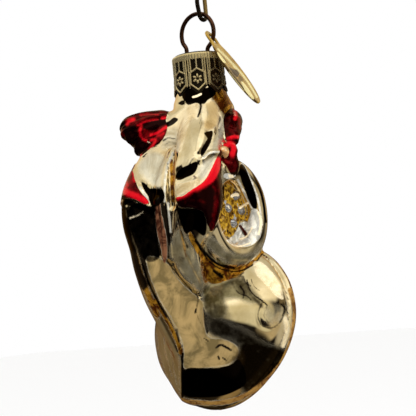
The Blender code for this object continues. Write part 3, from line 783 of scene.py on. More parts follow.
def pressFlats(points, flat, seen, soft=0.9, deepest=1.1):
    right, top, back, eye = painterAxes()
    for turn, rise, share, outline in flats:
        facing = wayTo(right, top, back, turn, rise)
        middle = np.mean(np.reshape(outline, (-1, 2)), 0)
        nearest = np.argmin(np.where(seen, np.hypot(*(flat - middle).T), 1e9))
        mask = ease(-soft, soft, insideOutline(flat, outline)) * seen * share
        above = (points - points[nearest]) @ facing
        level = np.average(above, weights=mask + 1e-9)
        move = np.clip((level - above) / (back @ facing), -deepest, deepest) * mask
        points = points + back * move[:, None]
    return points


def ripples(points, size, height):
    # the unevenness of hand-blown glass
    x, y, z = (points / size).T
    waves = np.sin(x + 1.7 * np.sin(0.8 * y + 0.3 * z)) + np.sin(y + 1.3 * np.sin(0.7 * z))
    return height * (waves + np.sin(z + 1.5 * np.sin(0.9 * x + 0.4 * y)))


def wrinkles(points, strength):
    # folds that run along the bow's loops
    x, y, z = points.T
    across = z + 0.35 * np.sin(0.9 * x + 0.7 * y) + 0.5 * np.abs(y)
    return strength * (np.sin(2.1 * across + 0.8 * np.sin(0.5 * x)) + 0.5 * np.sin(4.3 * across + 1.1 * x))


def glassNet(groups, rounds=3, span=0.8):
    # a net of quads on the glass, the way out at each point, and how hollow the glass is there
    step = glass["step"]
    axes, values = fieldGrid([part for group in groups.values() for part in group], *glass["box"], step)
    x, y, z = np.meshgrid(*axes, indexing="ij", sparse=True)
    bore = np.maximum(np.sqrt(x * x + y * y) - glass["boreRadius"], glass["neckTop"] - glass["boreDepth"] - z)
    values = np.maximum(values, -bore)
    print("glass field", values.shape)
    points, faces = netMesh(axes, values, step)
    slope = np.stack(np.gradient(values, step), -1)
    points = relaxed(points, faces, 2)
    for _ in range(rounds):
        way = sampleGrid(axes, slope, points, step)
        way /= np.maximum(np.linalg.norm(way, axis=1), 1e-6)[:, None]
        points = points - way * sampleGrid(axes, values, points, step)[:, None]
    curve = -6 * sampleGrid(axes, values, points, step)
    for k, side in product(range(3), (-span, span)):
        curve = curve + sampleGrid(axes, values, points + side * np.eye(3)[k], step)
    return points, faces, way, -curve


def ribbonArea(points, away, others, flat, seen, turned):
    # how far inside the red ribbon each point is, below zero outside it
    y = points[:, 1]
    area = {key: insideOutline(flat, paint[key]) for key in ("leftLoop", "rightLoop", "leftTail", "rightTail")}
    outside = np.maximum(area["leftLoop"], area["rightLoop"]) < 0
    ribbon = np.where(seen & outside, paint["outsideBow"], others - away["bow"])
    left, right = y > paint["tailDepth"], y < -paint["tailDepth"]
    for key, where in (("leftLoop", y > paint["loopDepth"]), ("leftTail", left), ("rightTail", right)):
        onRibbon = seen & where & (away["rings"] > paint["ringGap"])
        ribbon = np.where(onRibbon, np.maximum(ribbon, area[key]), ribbon)
    # the left tail ends in a round lobe on the side that the painter doesn't see
    edge = seen & (area["leftTail"] > 0) & (turned < 0.5) & left
    around = np.linalg.norm((points - points[edge].mean(0)) / paint["tailLobe"], axis=1)
    return np.where(seen, ribbon, np.maximum(ribbon, paint["tailEnd"] - around))


def lipDistance(x, y, z):
    # how far each point is along the bell's axis, and from the middle of its rolled lip
    bell = glass["bell"]
    tilt = math.radians(bell["tilt"])
    x, z = x - bell["x"], z - bell["height"]
    along = x * math.cos(tilt) - z * math.sin(tilt)
    across = np.sqrt(np.maximum(x**2 + y**2 + z**2 - along**2, 0))
    reach = (bell["radius"] - bell["lip"]) * bellReach(np.arctan2(y, -along * math.sin(tilt) - z))
    return along, np.hypot(along, across - reach)


def makeGlass():
    groups = glassParts()
    points, faces, way, hollow = glassNet(groups)
    print("glass net", len(points), len(faces))
    x, y, z = points.T
    away = {key: joined(group, x, y, z) for key, group in groups.items()}
    others = np.minimum(away["body"], np.minimum(away["rings"], away["dish"]))
    flat = painterPoints(points)
    seen = seenByPainter(points, faces, way)
    print("painter sees", int(seen.sum()), "points")
    turned = ease(0.0, paint["turned"], way @ painterAxes()[2])
    marks = {name: np.where(seen, paintMask(flat, **markLayout) * turned, 0.0) for name, markLayout in stainsAndPaintedLight.items()}
    along, lip = lipDistance(x, y, z)
    seam = np.exp(-((y / paint["seamHalf"]) ** 2)) * (away["body"] < away["bow"])
    strength, start, full = paint["hollowAmber"]
    inHollows = strength * ease(start, full, hollow) * ~seen
    strength, start, gone = paint["lipAmber"]
    onLip = strength * (1 - ease(start, gone, lip)) * ease(paint["lipDepth"], 0.0, along)
    for worn in (inHollows, onLip, paint["seamAmber"] * seam * ~seen):
        marks["amber"] = np.maximum(marks["amber"], worn)
    marks["glow"] = np.where(seen, marks["glow"], paint["glowBehind"])
    marks["ribbon"] = ribbonArea(points, away, others, flat, seen, turned)
    glitter = np.minimum(away["body"], away["rings"]) - np.minimum(away["dish"], away["bumps"])
    facing, hidden = paint["glitterPast"]
    inGlitter = insideOutline(flat, paint["glitter"])
    marks["glitter"] = np.where(seen, np.minimum(glitter + facing, inGlitter), glitter + hidden)
    marks["bumps"] = others - away["bumps"]

    lift = paint["seamHeight"] * seam + ripples(points, *paint["ripples"])
    for kind, half, height, line in workedLines:
        near = strokeDistance(flat, line, 3 * half)
        shape = np.maximum(1 - near / half, 0) if kind == "ridge" else np.exp(-((near / half) ** 2))
        lift = lift + np.where(seen, height * shape, 0)
    bow = ease(*paint["bowEdge"], others - away["bow"])
    lift = lift + bow * wrinkles(points, np.where(x < paint["foldsSplit"], *paint["folds"]))
    lift = lift + ease(*paint["paintEdge"], marks["ribbon"]) * paint["relief"] * (1 - bow)
    points = pressFlats(points + way * lift[:, None], flat, seen)
    return addMesh("glass_body", toFrame(points), faces, "glass_horn", marks)


# Nodes


def node(tree, kind, inputs=None, **settings):
    made = tree.nodes.new(kind)
    for key, value in settings.items():
        setattr(made, key, value)
    for key, value in (inputs or {}).items():
        socket = made.inputs[key]
        if isinstance(value, bpy.types.NodeSocket):
            tree.links.new(value, socket)
        else:
            socket.default_value = value
    return made


def mix(tree, factor, a, b, blend="MIX"):
    return node(tree, "ShaderNodeMix", {0: factor, 6: a, 7: b}, data_type="RGBA", blend_type=blend).outputs[2]


def calc(tree, kind, a, b=0.0, c=0.0):
    return node(tree, "ShaderNodeMath", {0: a, 1: b, 2: c}, operation=kind).outputs[0]


def scaled(tree, value, factor, offset):
    return calc(tree, "MULTIPLY_ADD", value, factor, offset)


def centred(tree, value, width):
    # a noise from 0 to 1, brought round zero
    return scaled(tree, value, width, -width / 2)


def vectorCalc(tree, kind, a, b=(0, 0, 0), **inputs):
    return node(tree, "ShaderNodeVectorMath", {0: a, 1: b, **inputs}, operation=kind).outputs


def between(tree, value, low, high, to=(0.0, 1.0)):
    limits = {"Value": value, "From Min": low, "From Max": high, "To Min": to[0], "To Max": to[1]}
    return node(tree, "ShaderNodeMapRange", limits, interpolation_type="SMOOTHSTEP").outputs[0]


def colour(*rgb):
    return (*[(v / 255) ** 2.2 for v in rgb], 1.0)


def onObject(tree, kind, scale, **inputs):
    place = node(tree, "ShaderNodeTexCoord").outputs["Object"]
    return node(tree, kind, {"Vector": place, "Scale": scale, **inputs}).outputs


def noise(tree, scale, detail=3.0, rough=0.5, distortion=0.0):
    inputs = {"Detail": detail, "Roughness": rough, "Distortion": distortion}
    return onObject(tree, "ShaderNodeTexNoise", scale, **inputs)["Fac"]


def newMaterial(name):
    made = bpy.data.materials.new(name)
    made.use_nodes = True
    tree = made.node_tree
    return made, tree, tree.nodes["Principled BSDF"]


def mark(tree, name):
    return node(tree, "ShaderNodeAttribute", attribute_name=name).outputs["Fac"]


glassFinish = {
    # scale, detail, roughness and distortion of the noises that break up the finish
    "noises": {
        "patch": (90.0, 4.0, 0.6, 0.4), "fine": (900.0, 3.0, 0.6), "ragged": (420.0, 4.0, 0.65),
        "streak": (260.0, 5.0, 0.65, 1.5), "cloud": (130.0, 6.0, 0.68, 0.8), "blotch": (160.0, 5.0, 0.7),
    },
    # how far the fine and the ragged noise move the edges of marks
    "wobble": 0.24,
    "ragged": 0.5,
    # one colour, or two with the noise that mixes them and the levels where that starts and ends
    "colours": {
        "mirror": ((246, 234, 202), (216, 198, 156), "patch", 0.35, 0.7),
        "oliveReflection": ((70, 62, 38), (140, 130, 96), "blotch", 0.35, 0.65),
        "warmReflection": ((110, 95, 62), (166, 141, 94), "cloud", 0.38, 0.62),
        "shade": ((38, 29, 16),),
        "amber": ((84, 42, 12), (196, 142, 48), "streak", 0.4, 0.6),
        "rose": ((64, 34, 24), (126, 84, 60), "streak", 0.4, 0.6),
        "creamReflection": ((186, 162, 116), (232, 214, 172), "cloud", 0.35, 0.6),
        "tanShade": ((160, 132, 84), (208, 180, 126), "cloud", 0.38, 0.6),
        "pearlReflection": ((162, 154, 130), (206, 200, 178), "cloud", 0.36, 0.62),
        "silver": ((186, 184, 174), (244, 241, 228), "streak", 0.42, 0.58),
        "darkReflectionAndMarks": ((15, 11, 8),),
        "rim": ((94, 54, 28), (176, 134, 72), "streak", 0.35, 0.6),
        "crescent": ((60, 18, 8),),
        "peachHighlight": ((228, 176, 118),),
        "glint": ((255, 236, 196),),
    },
    # the bow's red, lit and shaded, mixed by its painted highlight mark
    "red": colour(210, 14, 32),
    "redShaded": colour(30, 3, 9),
    "gold": colour(216, 170, 56),
    "goldDark": colour(104, 68, 14),
    "bead": colour(176, 178, 182),
    # marks from the lowest to the highest, most of them painted reflections, highlights and shade:
    # how matt each is, and the strengths at which it starts and is full
    "underBow": (
        ("oliveReflection", 0.4, 0.1, 0.95), ("warmReflection", 0.7, 0.2, 0.8), ("shade", 0.12, 0.1, 0.95), ("amber", 0.3, 0.3, 0.75),
        ("rose", 0.7, 0.3, 0.75), ("creamReflection", 0.8, 0.2, 0.8), ("tanShade", 0.7, 0.1, 0.9), ("pearlReflection", 0.7, 0.1, 0.9),
        ("silver", 0.6, 0.3, 0.8), ("darkReflectionAndMarks", 0.0, 0.3, 0.7), ("rim", 0.5, 0.25, 0.7),
    ),
    "overBow": (("crescent", 0.3, 0.3, 0.7), ("peachHighlight", 0.6, 0.3, 0.7), ("glint", 0.8, 0.3, 0.7)),
    "redMatt": (0.5, 0.24),  # of the bow where its painted highlight is full, and everywhere
    # the glitter: how many flakes and silver chips, how deep they are, how matt, and how much less so the beads
    "flakes": 1300.0,
    "chips": 700.0,
    "flakeDepth": 0.0004,
    "glitterMatt": 0.55,
    "beadShine": 0.7,
    "specular": 0.25,
    "specularTint": (0.9, 0.68, 0.5, 1.0),  # warms the edges, where the glass is seen at a slant
    # roughness of the bare mirror, and what patches, matt paint and glitter add to it
    "rough": 0.01,
    "roughPatch": 0.06,
    "roughMatt": 0.3,
    "roughGlitter": 0.3,
}


def mirrorGlass():
    made, tree, shader = newMaterial("mirror_glass_lacquered")
    noises = {name: noise(tree, *settings) for name, settings in glassFinish["noises"].items()}
    fine = noises["fine"]
    wobble = centred(tree, fine, glassFinish["wobble"])
    ragged = calc(tree, "ADD", centred(tree, noises["ragged"], glassFinish["ragged"]), wobble)

    def marked(name, low, high, edge=ragged):
        return between(tree, calc(tree, "ADD", mark(tree, name), edge), low, high)

    def tint(name):
        first, *mixed = glassFinish["colours"][name]
        if not mixed:
            return colour(*first)
        second, by, low, high = mixed
        return mix(tree, between(tree, noises[by], low, high), colour(*first), colour(*second))

    def painted(base, matt, layers):
        for name, cover, low, high in layers:
            amount = marked(name, low, high)
            base = mix(tree, amount, base, tint(name))
            matt = calc(tree, "MAXIMUM", matt, calc(tree, "MULTIPLY", amount, cover))
        return base, matt

    base, matt = painted(tint("mirror"), 0.0, glassFinish["underBow"])

    # glitter and beads in the dish
    glitter = marked("glitter", -0.05, 0.25, wobble)
    bumps = between(tree, mark(tree, "bumps"), -0.05, 0.1)
    flakes = onObject(tree, "ShaderNodeTexVoronoi", glassFinish["flakes"])
    chips = onObject(tree, "ShaderNodeTexVoronoi", glassFinish["chips"])
    gold = mix(tree, between(tree, flakes["Color"], 0.2, 0.9), glassFinish["goldDark"], glassFinish["gold"])
    gold = mix(tree, between(tree, fine, 0.42, 0.36), gold, tint("darkReflectionAndMarks"))
    gold = mix(tree, between(tree, chips["Color"], 0.8, 0.86), gold, glassFinish["bead"])
    base = mix(tree, bumps, mix(tree, glitter, base, gold), glassFinish["bead"])
    loose = scaled(tree, bumps, -glassFinish["beadShine"], 1.0)
    loose = calc(tree, "MULTIPLY", loose, calc(tree, "MULTIPLY", glitter, glassFinish["glitterMatt"]))
    matt = calc(tree, "MAXIMUM", matt, loose)

    # the red bow, and what lies over it
    ribbon = marked("ribbon", -0.04, 0.04, wobble)
    # the red goes from shaded to lit where the painted highlights are
    glow = marked("glow", 0.1, 0.9)
    base = mix(tree, ribbon, base, mix(tree, glow, glassFinish["redShaded"], glassFinish["red"]))
    matt = mix(tree, ribbon, matt, scaled(tree, glow, *glassFinish["redMatt"]))
    base, matt = painted(base, matt, glassFinish["overBow"])

    aroundBeads = calc(tree, "SUBTRACT", glitter, bumps)
    rough = scaled(tree, noises["patch"], glassFinish["roughPatch"], glassFinish["rough"])
    rough = scaled(tree, matt, glassFinish["roughMatt"], rough)
    rough = scaled(tree, aroundBeads, glassFinish["roughGlitter"], rough)
    grain = calc(tree, "MULTIPLY", flakes["Distance"], calc(tree, "MAXIMUM", aroundBeads, 0.0))
    bump = node(tree, "ShaderNodeBump", {"Height": grain, "Distance": glassFinish["flakeDepth"], "Strength": 0.8})
    tree.links.new(base, shader.inputs["Base Color"])
    tree.links.new(calc(tree, "SUBTRACT", 1.0, matt), shader.inputs["Metallic"])
    tree.links.new(rough, shader.inputs["Roughness"])
    tree.links.new(bump.outputs[0], shader.inputs["Normal"])
    shader.inputs["Specular Tint"].default_value = glassFinish["specularTint"]
    shader.inputs["Specular IOR Level"].default_value = glassFinish["specular"]
    return made


body = makeGlass()
body.data.materials.append(mirrorGlass())
print("glass done")

# Wires


def wirePiece(name, path, radius, nodeName, shadedSide=None, sides=20):
    # a round wire with a blunt end at each end; its dark mark is painted shade on one side, fading between two x
    # values
    path = np.asarray(path, float)
    points, faces = [], []
    guide = np.array((0.31, 0.53, 0.79))  # any way that isn't along a wire
    for i, centre in enumerate(path):
        ahead = path[min(i + 1, len(path) - 1)] - path[max(i - 1, 0)]
        ahead /= np.linalg.norm(ahead)
        guide = guide - ahead * (guide @ ahead)
        guide /= np.linalg.norm(guide)
        up = np.cross(ahead, guide)
        for k in range(sides):
            turn = 2 * math.pi * k / sides
            points.append(centre + radius * (guide * math.cos(turn) + up * math.sin(turn)))
    for i in range(len(path) - 1):
        for k in range(sides):
            a, b = i * sides + k, i * sides + (k + 1) % sides
            faces.append((a, b, b + sides, a + sides))
    bulge = 0.35 * radius
    for row, way in ((0, -1), (len(path) - 1, 1)):
        ahead = path[row] - path[row - way]
        points.append(path[row] + way * bulge * ahead / np.linalg.norm(ahead))
        for k in range(sides):
            a, b = row * sides + k, row * sides + (k + 1) % sides
            faces.append((a, b, len(points) - 1) if way > 0 else (b, a, len(points) - 1))
    dark = np.zeros(len(points)) if shadedSide is None else 1 - ease(*shadedSide, np.array(points)[:, 0])
    return addMesh(name, toFrame(points), faces, nodeName, {"dark": dark})


ring = {
    "lean": 0.8, "height": 104.8, "radius": 5.6, "wire": 0.6, "spread": 3.7,
    "foot": 90.3, "middle": 94.55, "capTop": 98.35,
}
hook = {
    "lowHeight": 109.85, "lowRadius": 1.6, "rise": 5.0, "highHeight": 123.45, "highRadius": 6.0,
    # the last pair: x between which the painted shade on one side of the hook fades
    "wire": 0.6, "shadedSide": (0.2, 1.1),
}


def ringPath():
    leg = [(-ring["spread"], ring[key]) for key in ("foot", "middle", "capTop")]
    arc = onArc((ring["lean"], ring["height"]), ring["radius"], range(219, -60, -23))
    path = smoothPath(leg + arc + [(-front, height) for front, height in reversed(leg)], 6)
    return [spot(0, front, height) for front, height in path]


def hookPath():
    low, top = hook["lowRadius"], hook["lowHeight"] + hook["rise"]
    path = [(low, top), *onArc((0, hook["lowHeight"]), low, range(0, -181, -30)), (-low, top)]
    path += onArc((0, hook["highHeight"]), hook["highRadius"], range(-36, 195, 21))
    return [spot(x, hang["front"], height) for x, height in smoothPath(path, 6)]


ringPiece = wirePiece("hanging_ring_wire", ringPath(), ring["wire"], "hanging_ring")
hookPiece = wirePiece("hook_wire", hookPath(), hook["wire"], "ornament_hook", hook["shadedSide"])
print("wires done")

# The cap: across is measured from the middle of a panel, down from the cap's top

cap = {
    "top": 98.8, "radius": 7.0, "edge": 1.1, "height": 12.4, "tip": 2.9, "turn": 9.0, "flare": 0.5,
    "wall": 0.45, "skirt": 3.6, "panels": 8, "columns": 44, "rows": 70,
    "frameLines": (
        ((-2.35, 2.3), (-2.35, 9.6)), ((2.35, 2.3), (2.35, 9.6)), ((-1.75, 2.3), (-1.75, 5.6)),
        ((1.75, 2.3), (1.75, 5.6)), ((0, 2.2), (0, 4.9)),
    ),
    "hexagon": ((0, 4.9), (1.95, 6.0), (1.95, 9.2), (0, 10.9), (-1.95, 9.2), (-1.95, 6.0), (0, 4.9)),
    "flower": {"down": 7.8, "petals": 6, "out": 0.88, "long": 0.52, "wide": 0.3, "edge": (0.75, 1.15)},
    "ribs": {"height": 0.26, "wave": 0.06, "apart": 0.8, "above": (0.1, 0.4), "below": (2.1, 2.4)},
    "stamped": 0.32,  # height of the lines and flowers
    "lineWidth": (0.117, 0.26),  # half width at the top and at the foot
    "sunk": 0.1,
    "uneven": (0.06, 0.04),  # heights of the two waves that make the skirt a little out of round
    # painted shade on the cap's right side, as an outline of picture points
    "dark": {"soft": 1.6, "areas": ((0.64, (211, 60, 217, 54, 228, 54, 230, 96, 208, 98, 209, 78)),)},
}


def capRelief(u, v):
    # stamped pattern of one panel: u across, v down
    ribs, flower = cap["ribs"], cap["flower"]
    band = ease(*ribs["above"], v) * (1 - ease(*ribs["below"], v))
    relief = band * (ribs["height"] + ribs["wave"] * np.cos(2 * math.pi * u / ribs["apart"]))
    lines = [*cap["frameLines"], *pairwise(cap["hexagon"])]
    nearest = np.min([segmentDistance(u, v, a, b) for a, b in lines], 0)
    relief = np.maximum(relief, cap["stamped"] * (1 - ease(*cap["lineWidth"], nearest)))
    down = v - flower["down"]
    for k in range(flower["petals"]):
        turn = 2 * math.pi * k / flower["petals"]
        along = u * math.sin(turn) + down * math.cos(turn)
        aside = u * math.cos(turn) - down * math.sin(turn)
        petal = np.hypot((along - flower["out"]) / flower["long"], aside / flower["wide"])
        relief = np.maximum(relief, cap["stamped"] * (1 - ease(*flower["edge"], petal)))
    return relief


def capColumn(foot):
    # the cap's outer side from its flat top to its foot, as (radius, down)
    flat, edge, skirt = cap["radius"] - cap["edge"], cap["edge"], cap["skirt"]
    column = [(flat * t, 0.0) for t in (0.5, 0.75, 1.0)]
    for a in np.linspace(0.15, math.pi / 2, 12):
        column.append((flat + edge * math.sin(a), edge * (1 - math.cos(a))))
    for row in range(1, cap["rows"] + 1):
        down = edge + (foot - edge) * row / cap["rows"]
        flare = cap["flare"] * max(0.0, (down - skirt) / (cap["height"] - skirt)) ** 2
        column.append((cap["radius"] + flare, down))
    return column


def makeCap():
    around = cap["panels"] * cap["columns"]
    width = 2 * math.pi * cap["radius"] / cap["panels"]
    wall = cap["wall"]
    points, faces, recess = [], [], []
    for k in range(around):
        share = k / cap["columns"] % 1 - 0.5
        foot = cap["height"] - cap["tip"] * abs(share) * 2
        angle = 2 * math.pi * k / around + math.radians(cap["turn"])
        column = capColumn(foot)
        v = np.array([down for radius, down in column])
        relief = capRelief(np.full(len(v), share * width), v) * ease(0.2, 0.6, v)
        relief = relief * (1 - 0.7 * ease(foot - 0.25, foot, v))
        wave = cap["uneven"][0] * math.sin(3 * angle) + cap["uneven"][1] * math.sin(7 * angle + 1)
        radii = [
            radius + (rise - cap["sunk"] + wave * ease(2, 8, down) if down > 0.2 else 0)
            for (radius, down), rise in zip(column, relief)
        ]
        inner = cap["radius"] - wall
        radii += [column[-1][0] - wall, inner, inner, 1.0]
        downs = [*v, foot, cap["skirt"], wall, wall]
        points += [(r * math.cos(angle), r * math.sin(angle), cap["top"] - down) for r, down in zip(radii, downs)]
        recess += [*relief, 0.0, 0.0, 0.0, 0.0]
    length = len(radii)
    for k in range(around):
        a, b = k * length, (k + 1) % around * length
        faces += [(a + i, a + i + 1, b + i + 1, b + i) for i in range(length - 1)]
    faces.append([k * length for k in range(around)])
    faces.append([k * length + length - 1 for k in reversed(range(around))])
    dark = paintMask(painterPoints(np.array(points)), **cap["dark"])
    marks = {"relief": recess, "dark": dark}
    return addMesh("stamped_cap", toFrame(points), faces, "crown_cap", marks)


capPiece = makeCap()
print("cap done")

# The tag

tag = {
    "long": 22.0, "wide": 12.4, "thick": 0.7, "eye": 2.9, "hole": 1.75,
    "ringAngle": -28.0, "lean": 30.5, "bearing": -78.0, "step": 0.16,
    "blend": 1.2, "corner": 0.18, "field": 0.13, "dent": 0.1,
    # painted shade and painted highlights on the beaten face, laid out as for the glass
    "tones": {
        "dark": {
            "soft": 0.12, "steps": 3,
            "areas": (
                (0.9, (229, 67, 233, 69, 239, 71, 238, 77, 234, 75)), (0.55, (240, 75, 243, 79, 242, 83, 238, 79)),
                (0.5, (222, 57, 226, 60, 225, 64)),
            ),
            "lines": (
                (0.45, 1.0, (213, 48, 221, 60, 229, 71, 237, 81, 246, 92, 256, 102)),
                (0.25, 0.6, (230, 60, 237, 68, 243, 76)),
            ),
        },
        "glint": {
            "soft": 0.12, "steps": 3,
            "areas": (
                (1.0, (241, 82, 244, 83, 250, 91, 254, 98, 252, 99, 246, 92)),
                (0.7, (217, 52, 220, 54, 226, 62, 224, 63, 219, 57)), (0.7, (232, 64, 236, 67, 238, 70, 234, 68)),
            ),
            "lines": (
                (0.4, 0.75, (218, 49, 230, 61, 245, 78, 257, 97)), (0.25, 0.6, (229, 72, 237, 82, 244, 91)),
            ),
        },
    },
}


def makeTag():
    half = tag["thick"] / 2
    drop = tag["long"] / 2 + tag["hole"] / 2

    def distance(x, y, z):
        plate = ovalDistance((x, tag["wide"] / 2), (y + drop, tag["long"] / 2))
        middle = np.sqrt(x * x + y * y)
        outline = np.maximum(smoothMin(plate, middle - tag["eye"], tag["blend"]), tag["hole"] - middle)
        field = tag["field"] * ease(0.7, 1.3, -plate)
        dent = tag["dent"] * np.sin(1.1 * x + 0.7 * np.sin(0.9 * y)) * np.sin(0.75 * y + 1.3 * np.sin(0.6 * x))
        face = np.abs(z) - half + field + dent * ease(1.0, 2.0, -plate)
        return overlap(outline, face, tag["corner"])

    low, high = (-tag["wide"] / 2, -drop - tag["long"] / 2, -half), (tag["wide"] / 2, tag["eye"], half)
    shape = {"low": np.array(low), "high": np.array(high), "distance": distance}
    axes, values = fieldGrid([(shape, 0.01)], shape["low"] - 1, shape["high"] + 1, tag["step"])
    points, faces = netMesh(axes, values, tag["step"])
    [(front, height)] = onArc((ring["lean"], ring["height"]), ring["radius"], [tag["ringAngle"]])
    bearing, lean = math.radians(tag["bearing"]), math.radians(tag["lean"])
    outward = np.array((math.cos(bearing), math.sin(bearing), 0))
    up = np.array((0, 0, math.cos(lean))) - outward * math.sin(lean)
    across = np.array((-outward[1], outward[0], 0))
    points = points @ np.stack([across, up, np.cross(across, up)]) + spot(0, front, height)
    flat = painterPoints(points)
    marks = {name: paintMask(flat, **tone) for name, tone in tag["tones"].items()}
    return addMesh("oval_tag", toFrame(points), faces, "hang_tag", marks)


tagPiece = makeTag()
print("tag done")

# rough is the roughness of a worn place; tones are marks on the piece with their colours: painted shade on the cap
# and the hook, painted shade and highlights on the tag
metals = {
    "capBrass": {
        "piece": capPiece, "bright": colour(206, 188, 140), "dull": colour(34, 28, 16), "rough": 0.24,
        "metal": 0.78, "raised": "relief", "tones": {"dark": colour(58, 40, 24)},
    },
    "ringBronze": {
        "piece": ringPiece, "bright": colour(120, 84, 66), "dull": colour(40, 28, 24), "rough": 0.22,
        "metal": 1.0, "tones": {},
    },
    "tagGold": {
        "piece": tagPiece, "bright": colour(206, 168, 78), "dull": colour(136, 100, 40), "rough": 0.12,
        "metal": 0.55, "tones": {"dark": colour(78, 58, 26), "glint": colour(255, 240, 172)},
    },
    "hookWire": {
        "piece": hookPiece, "bright": colour(178, 150, 90), "dull": colour(96, 76, 40), "rough": 0.25,
        "metal": 0.8, "tones": {"dark": colour(34, 26, 16)},
    },
}


def patinaGroup():
    # worn bright where it is raised, dull in between
    group = bpy.data.node_groups.new("patina", "ShaderNodeTree")
    for name, kind, value in (
        ("Bright", "NodeSocketColor", (1, 1, 1, 1)),
        ("Dull", "NodeSocketColor", (0, 0, 0, 1)),
        ("Raised", "NodeSocketFloat", 0.5),
        ("Scale", "NodeSocketFloat", 300.0),
        ("Base Roughness", "NodeSocketFloat", 0.3),
    ):
        group.interface.new_socket(name, in_out="INPUT", socket_type=kind).default_value = value
    for name, kind in (("Color", "NodeSocketColor"), ("Roughness", "NodeSocketFloat"), ("Height", "NodeSocketFloat")):
        group.interface.new_socket(name, in_out="OUTPUT", socket_type=kind)
    source = node(group, "NodeGroupInput").outputs
    cloud = noise(group, source["Scale"], 5.0, 0.6)
    speck = noise(group, 4000.0, 2.0)
    worn = between(group, calc(group, "ADD", source["Raised"], centred(group, cloud, 0.9)), 0.2, 0.8)
    rough = calc(group, "ADD", source["Base Roughness"], scaled(group, worn, -0.18, 0.2))
    tint = mix(group, worn, source["Dull"], source["Bright"])
    node(group, "NodeGroupOutput", {"Color": tint, "Roughness": rough, "Height": scaled(group, speck, 0.5, cloud)})
    return group


patina = patinaGroup()
for name, finish in metals.items():
    made, tree, shader = newMaterial(name)
    inputs = {"Bright": finish["bright"], "Dull": finish["dull"], "Base Roughness": finish["rough"]}
    if "raised" in finish:
        inputs["Raised"] = between(tree, mark(tree, finish["raised"]), 0.02, 0.2, (-0.1, 1.0))
    group = node(tree, "ShaderNodeGroup", inputs, node_tree=patina)
    base = group.outputs["Color"]
    for tone, tint in finish["tones"].items():
        base = mix(tree, between(tree, mark(tree, tone), 0.15, 0.85), base, tint)
    bump = node(tree, "ShaderNodeBump", {"Height": group.outputs["Height"], "Distance": 0.00008, "Strength": 0.5})
    tree.links.new(base, shader.inputs["Base Color"])
    tree.links.new(group.outputs["Roughness"], shader.inputs["Roughness"])
    tree.links.new(bump.outputs[0], shader.inputs["Normal"])
    shader.inputs["Metallic"].default_value = finish["metal"]
    finish["piece"].data.materials.append(made)
print("metals done")

# Room, light and camera

scene = bpy.context.scene
scene.view_settings.view_transform = "Standard"
right, top, back, eye = (Vector(v) for v in painterAxes())
camera = bpy.data.objects.new("camera", bpy.data.cameras.new("camera"))
scene.collection.objects.link(camera)
camera.data.sensor_width = 36.0
camera.data.lens = camera.data.sensor_width * painter["away"] / painter["wide"]
camera.data.clip_start = 0.01
turn = Matrix((right, top, back)).transposed().to_4x4()
turn.translation = Vector(toFrame(eye))
camera.matrix_world = turn
scene.camera = camera

room = {
    # its colour, and that of its floor
    "dark": (0.012, 0.009, 0.007),
    "low": (0.02, 0.014, 0.008),
    "window": (0.95, 0.89, 0.72),
    # how far and how finely a cloud bends the edges, and the share of light that it leaves in its shade
    "wobble": 0.14,
    "cloud": 1.6,
    "shade": 0.75,
    # parts of the room as the glass shows them, in degrees:
    # to the right of the viewer, up, half width, half height, then softness and colour
    "patches": (
        (-80, -30, 24, 12, 0.4, (0.12, 0.085, 0.045)),
        (0, -88, 14, 14, 0.4, (0.3, 0.21, 0.1)),
        (95, -50, 34, 24, 0.3, (0.26, 0.23, 0.17)),
        (-28, -27, 19, 16, 0.12, (0.50, 0.43, 0.31)),
        (38, 5, 27, 16, 0.2, (0.60, 0.49, 0.31)),
        (72, -4, 24, 22, 0.3, (0.62, 0.55, 0.42)),
        (-132, -15, 34, 20, 0.3, (0.24, 0.2, 0.135)),
        (-57, 37, 28, 14, 0.15, (0.82, 0.76, 0.6)),
        (6, 28, 17, 18, 0.15, (0.82, 0.74, 0.52)),
        (80, 34, 17, 14, 0.35, (0.2, 0.16, 0.1)),
        (138, 42, 30, 44, 0.3, (0.66, 0.6, 0.46)),
        (40, 66, 44, 23, 0.2, (1.5, 1.42, 1.22)),
    ),
}


def patchMask(tree, way, turn, rise, wide, high, soft):
    # one soft-edged oval of the room, seen from the glass
    centre = wayTo(right, top, back, turn, rise)
    across = wayTo(right, top, back, turn + 90, 0) / math.sin(math.radians(wide))
    upward = wayTo(right, top, back, turn, rise + 90) / math.sin(math.radians(high))
    x, y, z = (vectorCalc(tree, "DOT_PRODUCT", way, axis)["Value"] for axis in (across, upward, centre))
    far = calc(tree, "SQRT", calc(tree, "MULTIPLY_ADD", x, x, calc(tree, "MULTIPLY", y, y)))
    return calc(tree, "MULTIPLY", between(tree, far, 1 + soft, 1 - soft), between(tree, z, -0.1, 0.1))


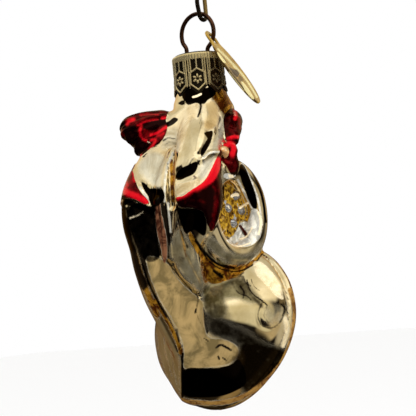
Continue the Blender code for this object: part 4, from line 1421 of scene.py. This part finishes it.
def makeWorld():
    # plain white to the camera, the room's patches in reflections
    world = bpy.data.worlds.new("studio")
    scene.world = world
    world.use_nodes = True
    tree = world.node_tree
    glow = tree.nodes["Background"]
    way = vectorCalc(tree, "NORMALIZE", node(tree, "ShaderNodeTexCoord").outputs["Generated"])[0]
    settings = {"Vector": way, "Scale": room["cloud"], "Detail": 4.0, "Roughness": 0.6}
    cloud = node(tree, "ShaderNodeTexNoise", settings).outputs
    offset = vectorCalc(tree, "SUBTRACT", cloud["Color"], (0.5, 0.5, 0.5))[0]
    offset = vectorCalc(tree, "SCALE", offset, Scale=room["wobble"])[0]
    bent = vectorCalc(tree, "NORMALIZE", vectorCalc(tree, "ADD", way, offset)[0])[0]

    def along(axis):
        return vectorCalc(tree, "DOT_PRODUCT", bent, axis)["Value"]

    seen = mix(tree, between(tree, along(top), -0.55, -0.85), (*room["dark"], 1.0), (*room["low"], 1.0))
    for *patch, tint in room["patches"]:
        seen = mix(tree, patchMask(tree, bent, *patch), seen, (*tint, 1.0))
    edge = between(tree, along(right), 0.12, -0.05)
    window = calc(tree, "MULTIPLY", between(tree, along(top - back * 0.45), 0.42, 0.5), edge)
    seen = mix(tree, window, seen, (*room["window"], 1.0))
    shade = between(tree, cloud["Fac"], 0.3, 0.7, (room["shade"], 1.0))
    seen = mix(tree, 1.0, seen, shade, "MULTIPLY")
    tree.links.new(seen, glow.inputs["Color"])
    plain = node(tree, "ShaderNodeBackground", {"Color": (1, 1, 1, 1), "Strength": 1.0})
    glossy = node(tree, "ShaderNodeLightPath").outputs["Is Glossy Ray"]
    both = node(tree, "ShaderNodeMixShader", {0: glossy, 1: plain.outputs[0], 2: glow.outputs[0]})
    tree.links.new(both.outputs[0], tree.nodes["World Output"].inputs["Surface"])


def makeFloor(wide=6.0, low=-0.42):
    mesh = bpy.data.meshes.new("floor")
    corners = [(x * wide, y * wide, low) for x, y in ((-1, -1), (1, -1), (1, 1), (-1, 1))]
    mesh.from_pydata(corners, [], [(0, 1, 2, 3)])
    floor = bpy.data.objects.new("floor", mesh)
    scene.collection.objects.link(floor)
    made, tree, shader = newMaterial("floor_paint")
    shader.inputs["Base Color"].default_value = (0.98, 0.98, 0.98, 1)
    shader.inputs["Roughness"].default_value = 0.9
    mesh.materials.append(made)
    floor.visible_glossy = False


def addLight(name, place, size, power):
    light = bpy.data.objects.new(name, bpy.data.lights.new(name, "AREA"))
    light.data.size = size
    light.data.energy = power
    scene.collection.objects.link(light)
    light.location = place
    middle = Vector((0, 0, -0.07))
    light.rotation_euler = (middle - Vector(place)).to_track_quat("-Z", "Y").to_euler()
    light.visible_glossy = False


makeWorld()
makeFloor()
addLight("keyLight", (-0.5, -0.9, 0.9), 0.6, 12.0)
addLight("fillLight", (0.9, 0.2, 0.5), 0.8, 8.0)
print("room done")
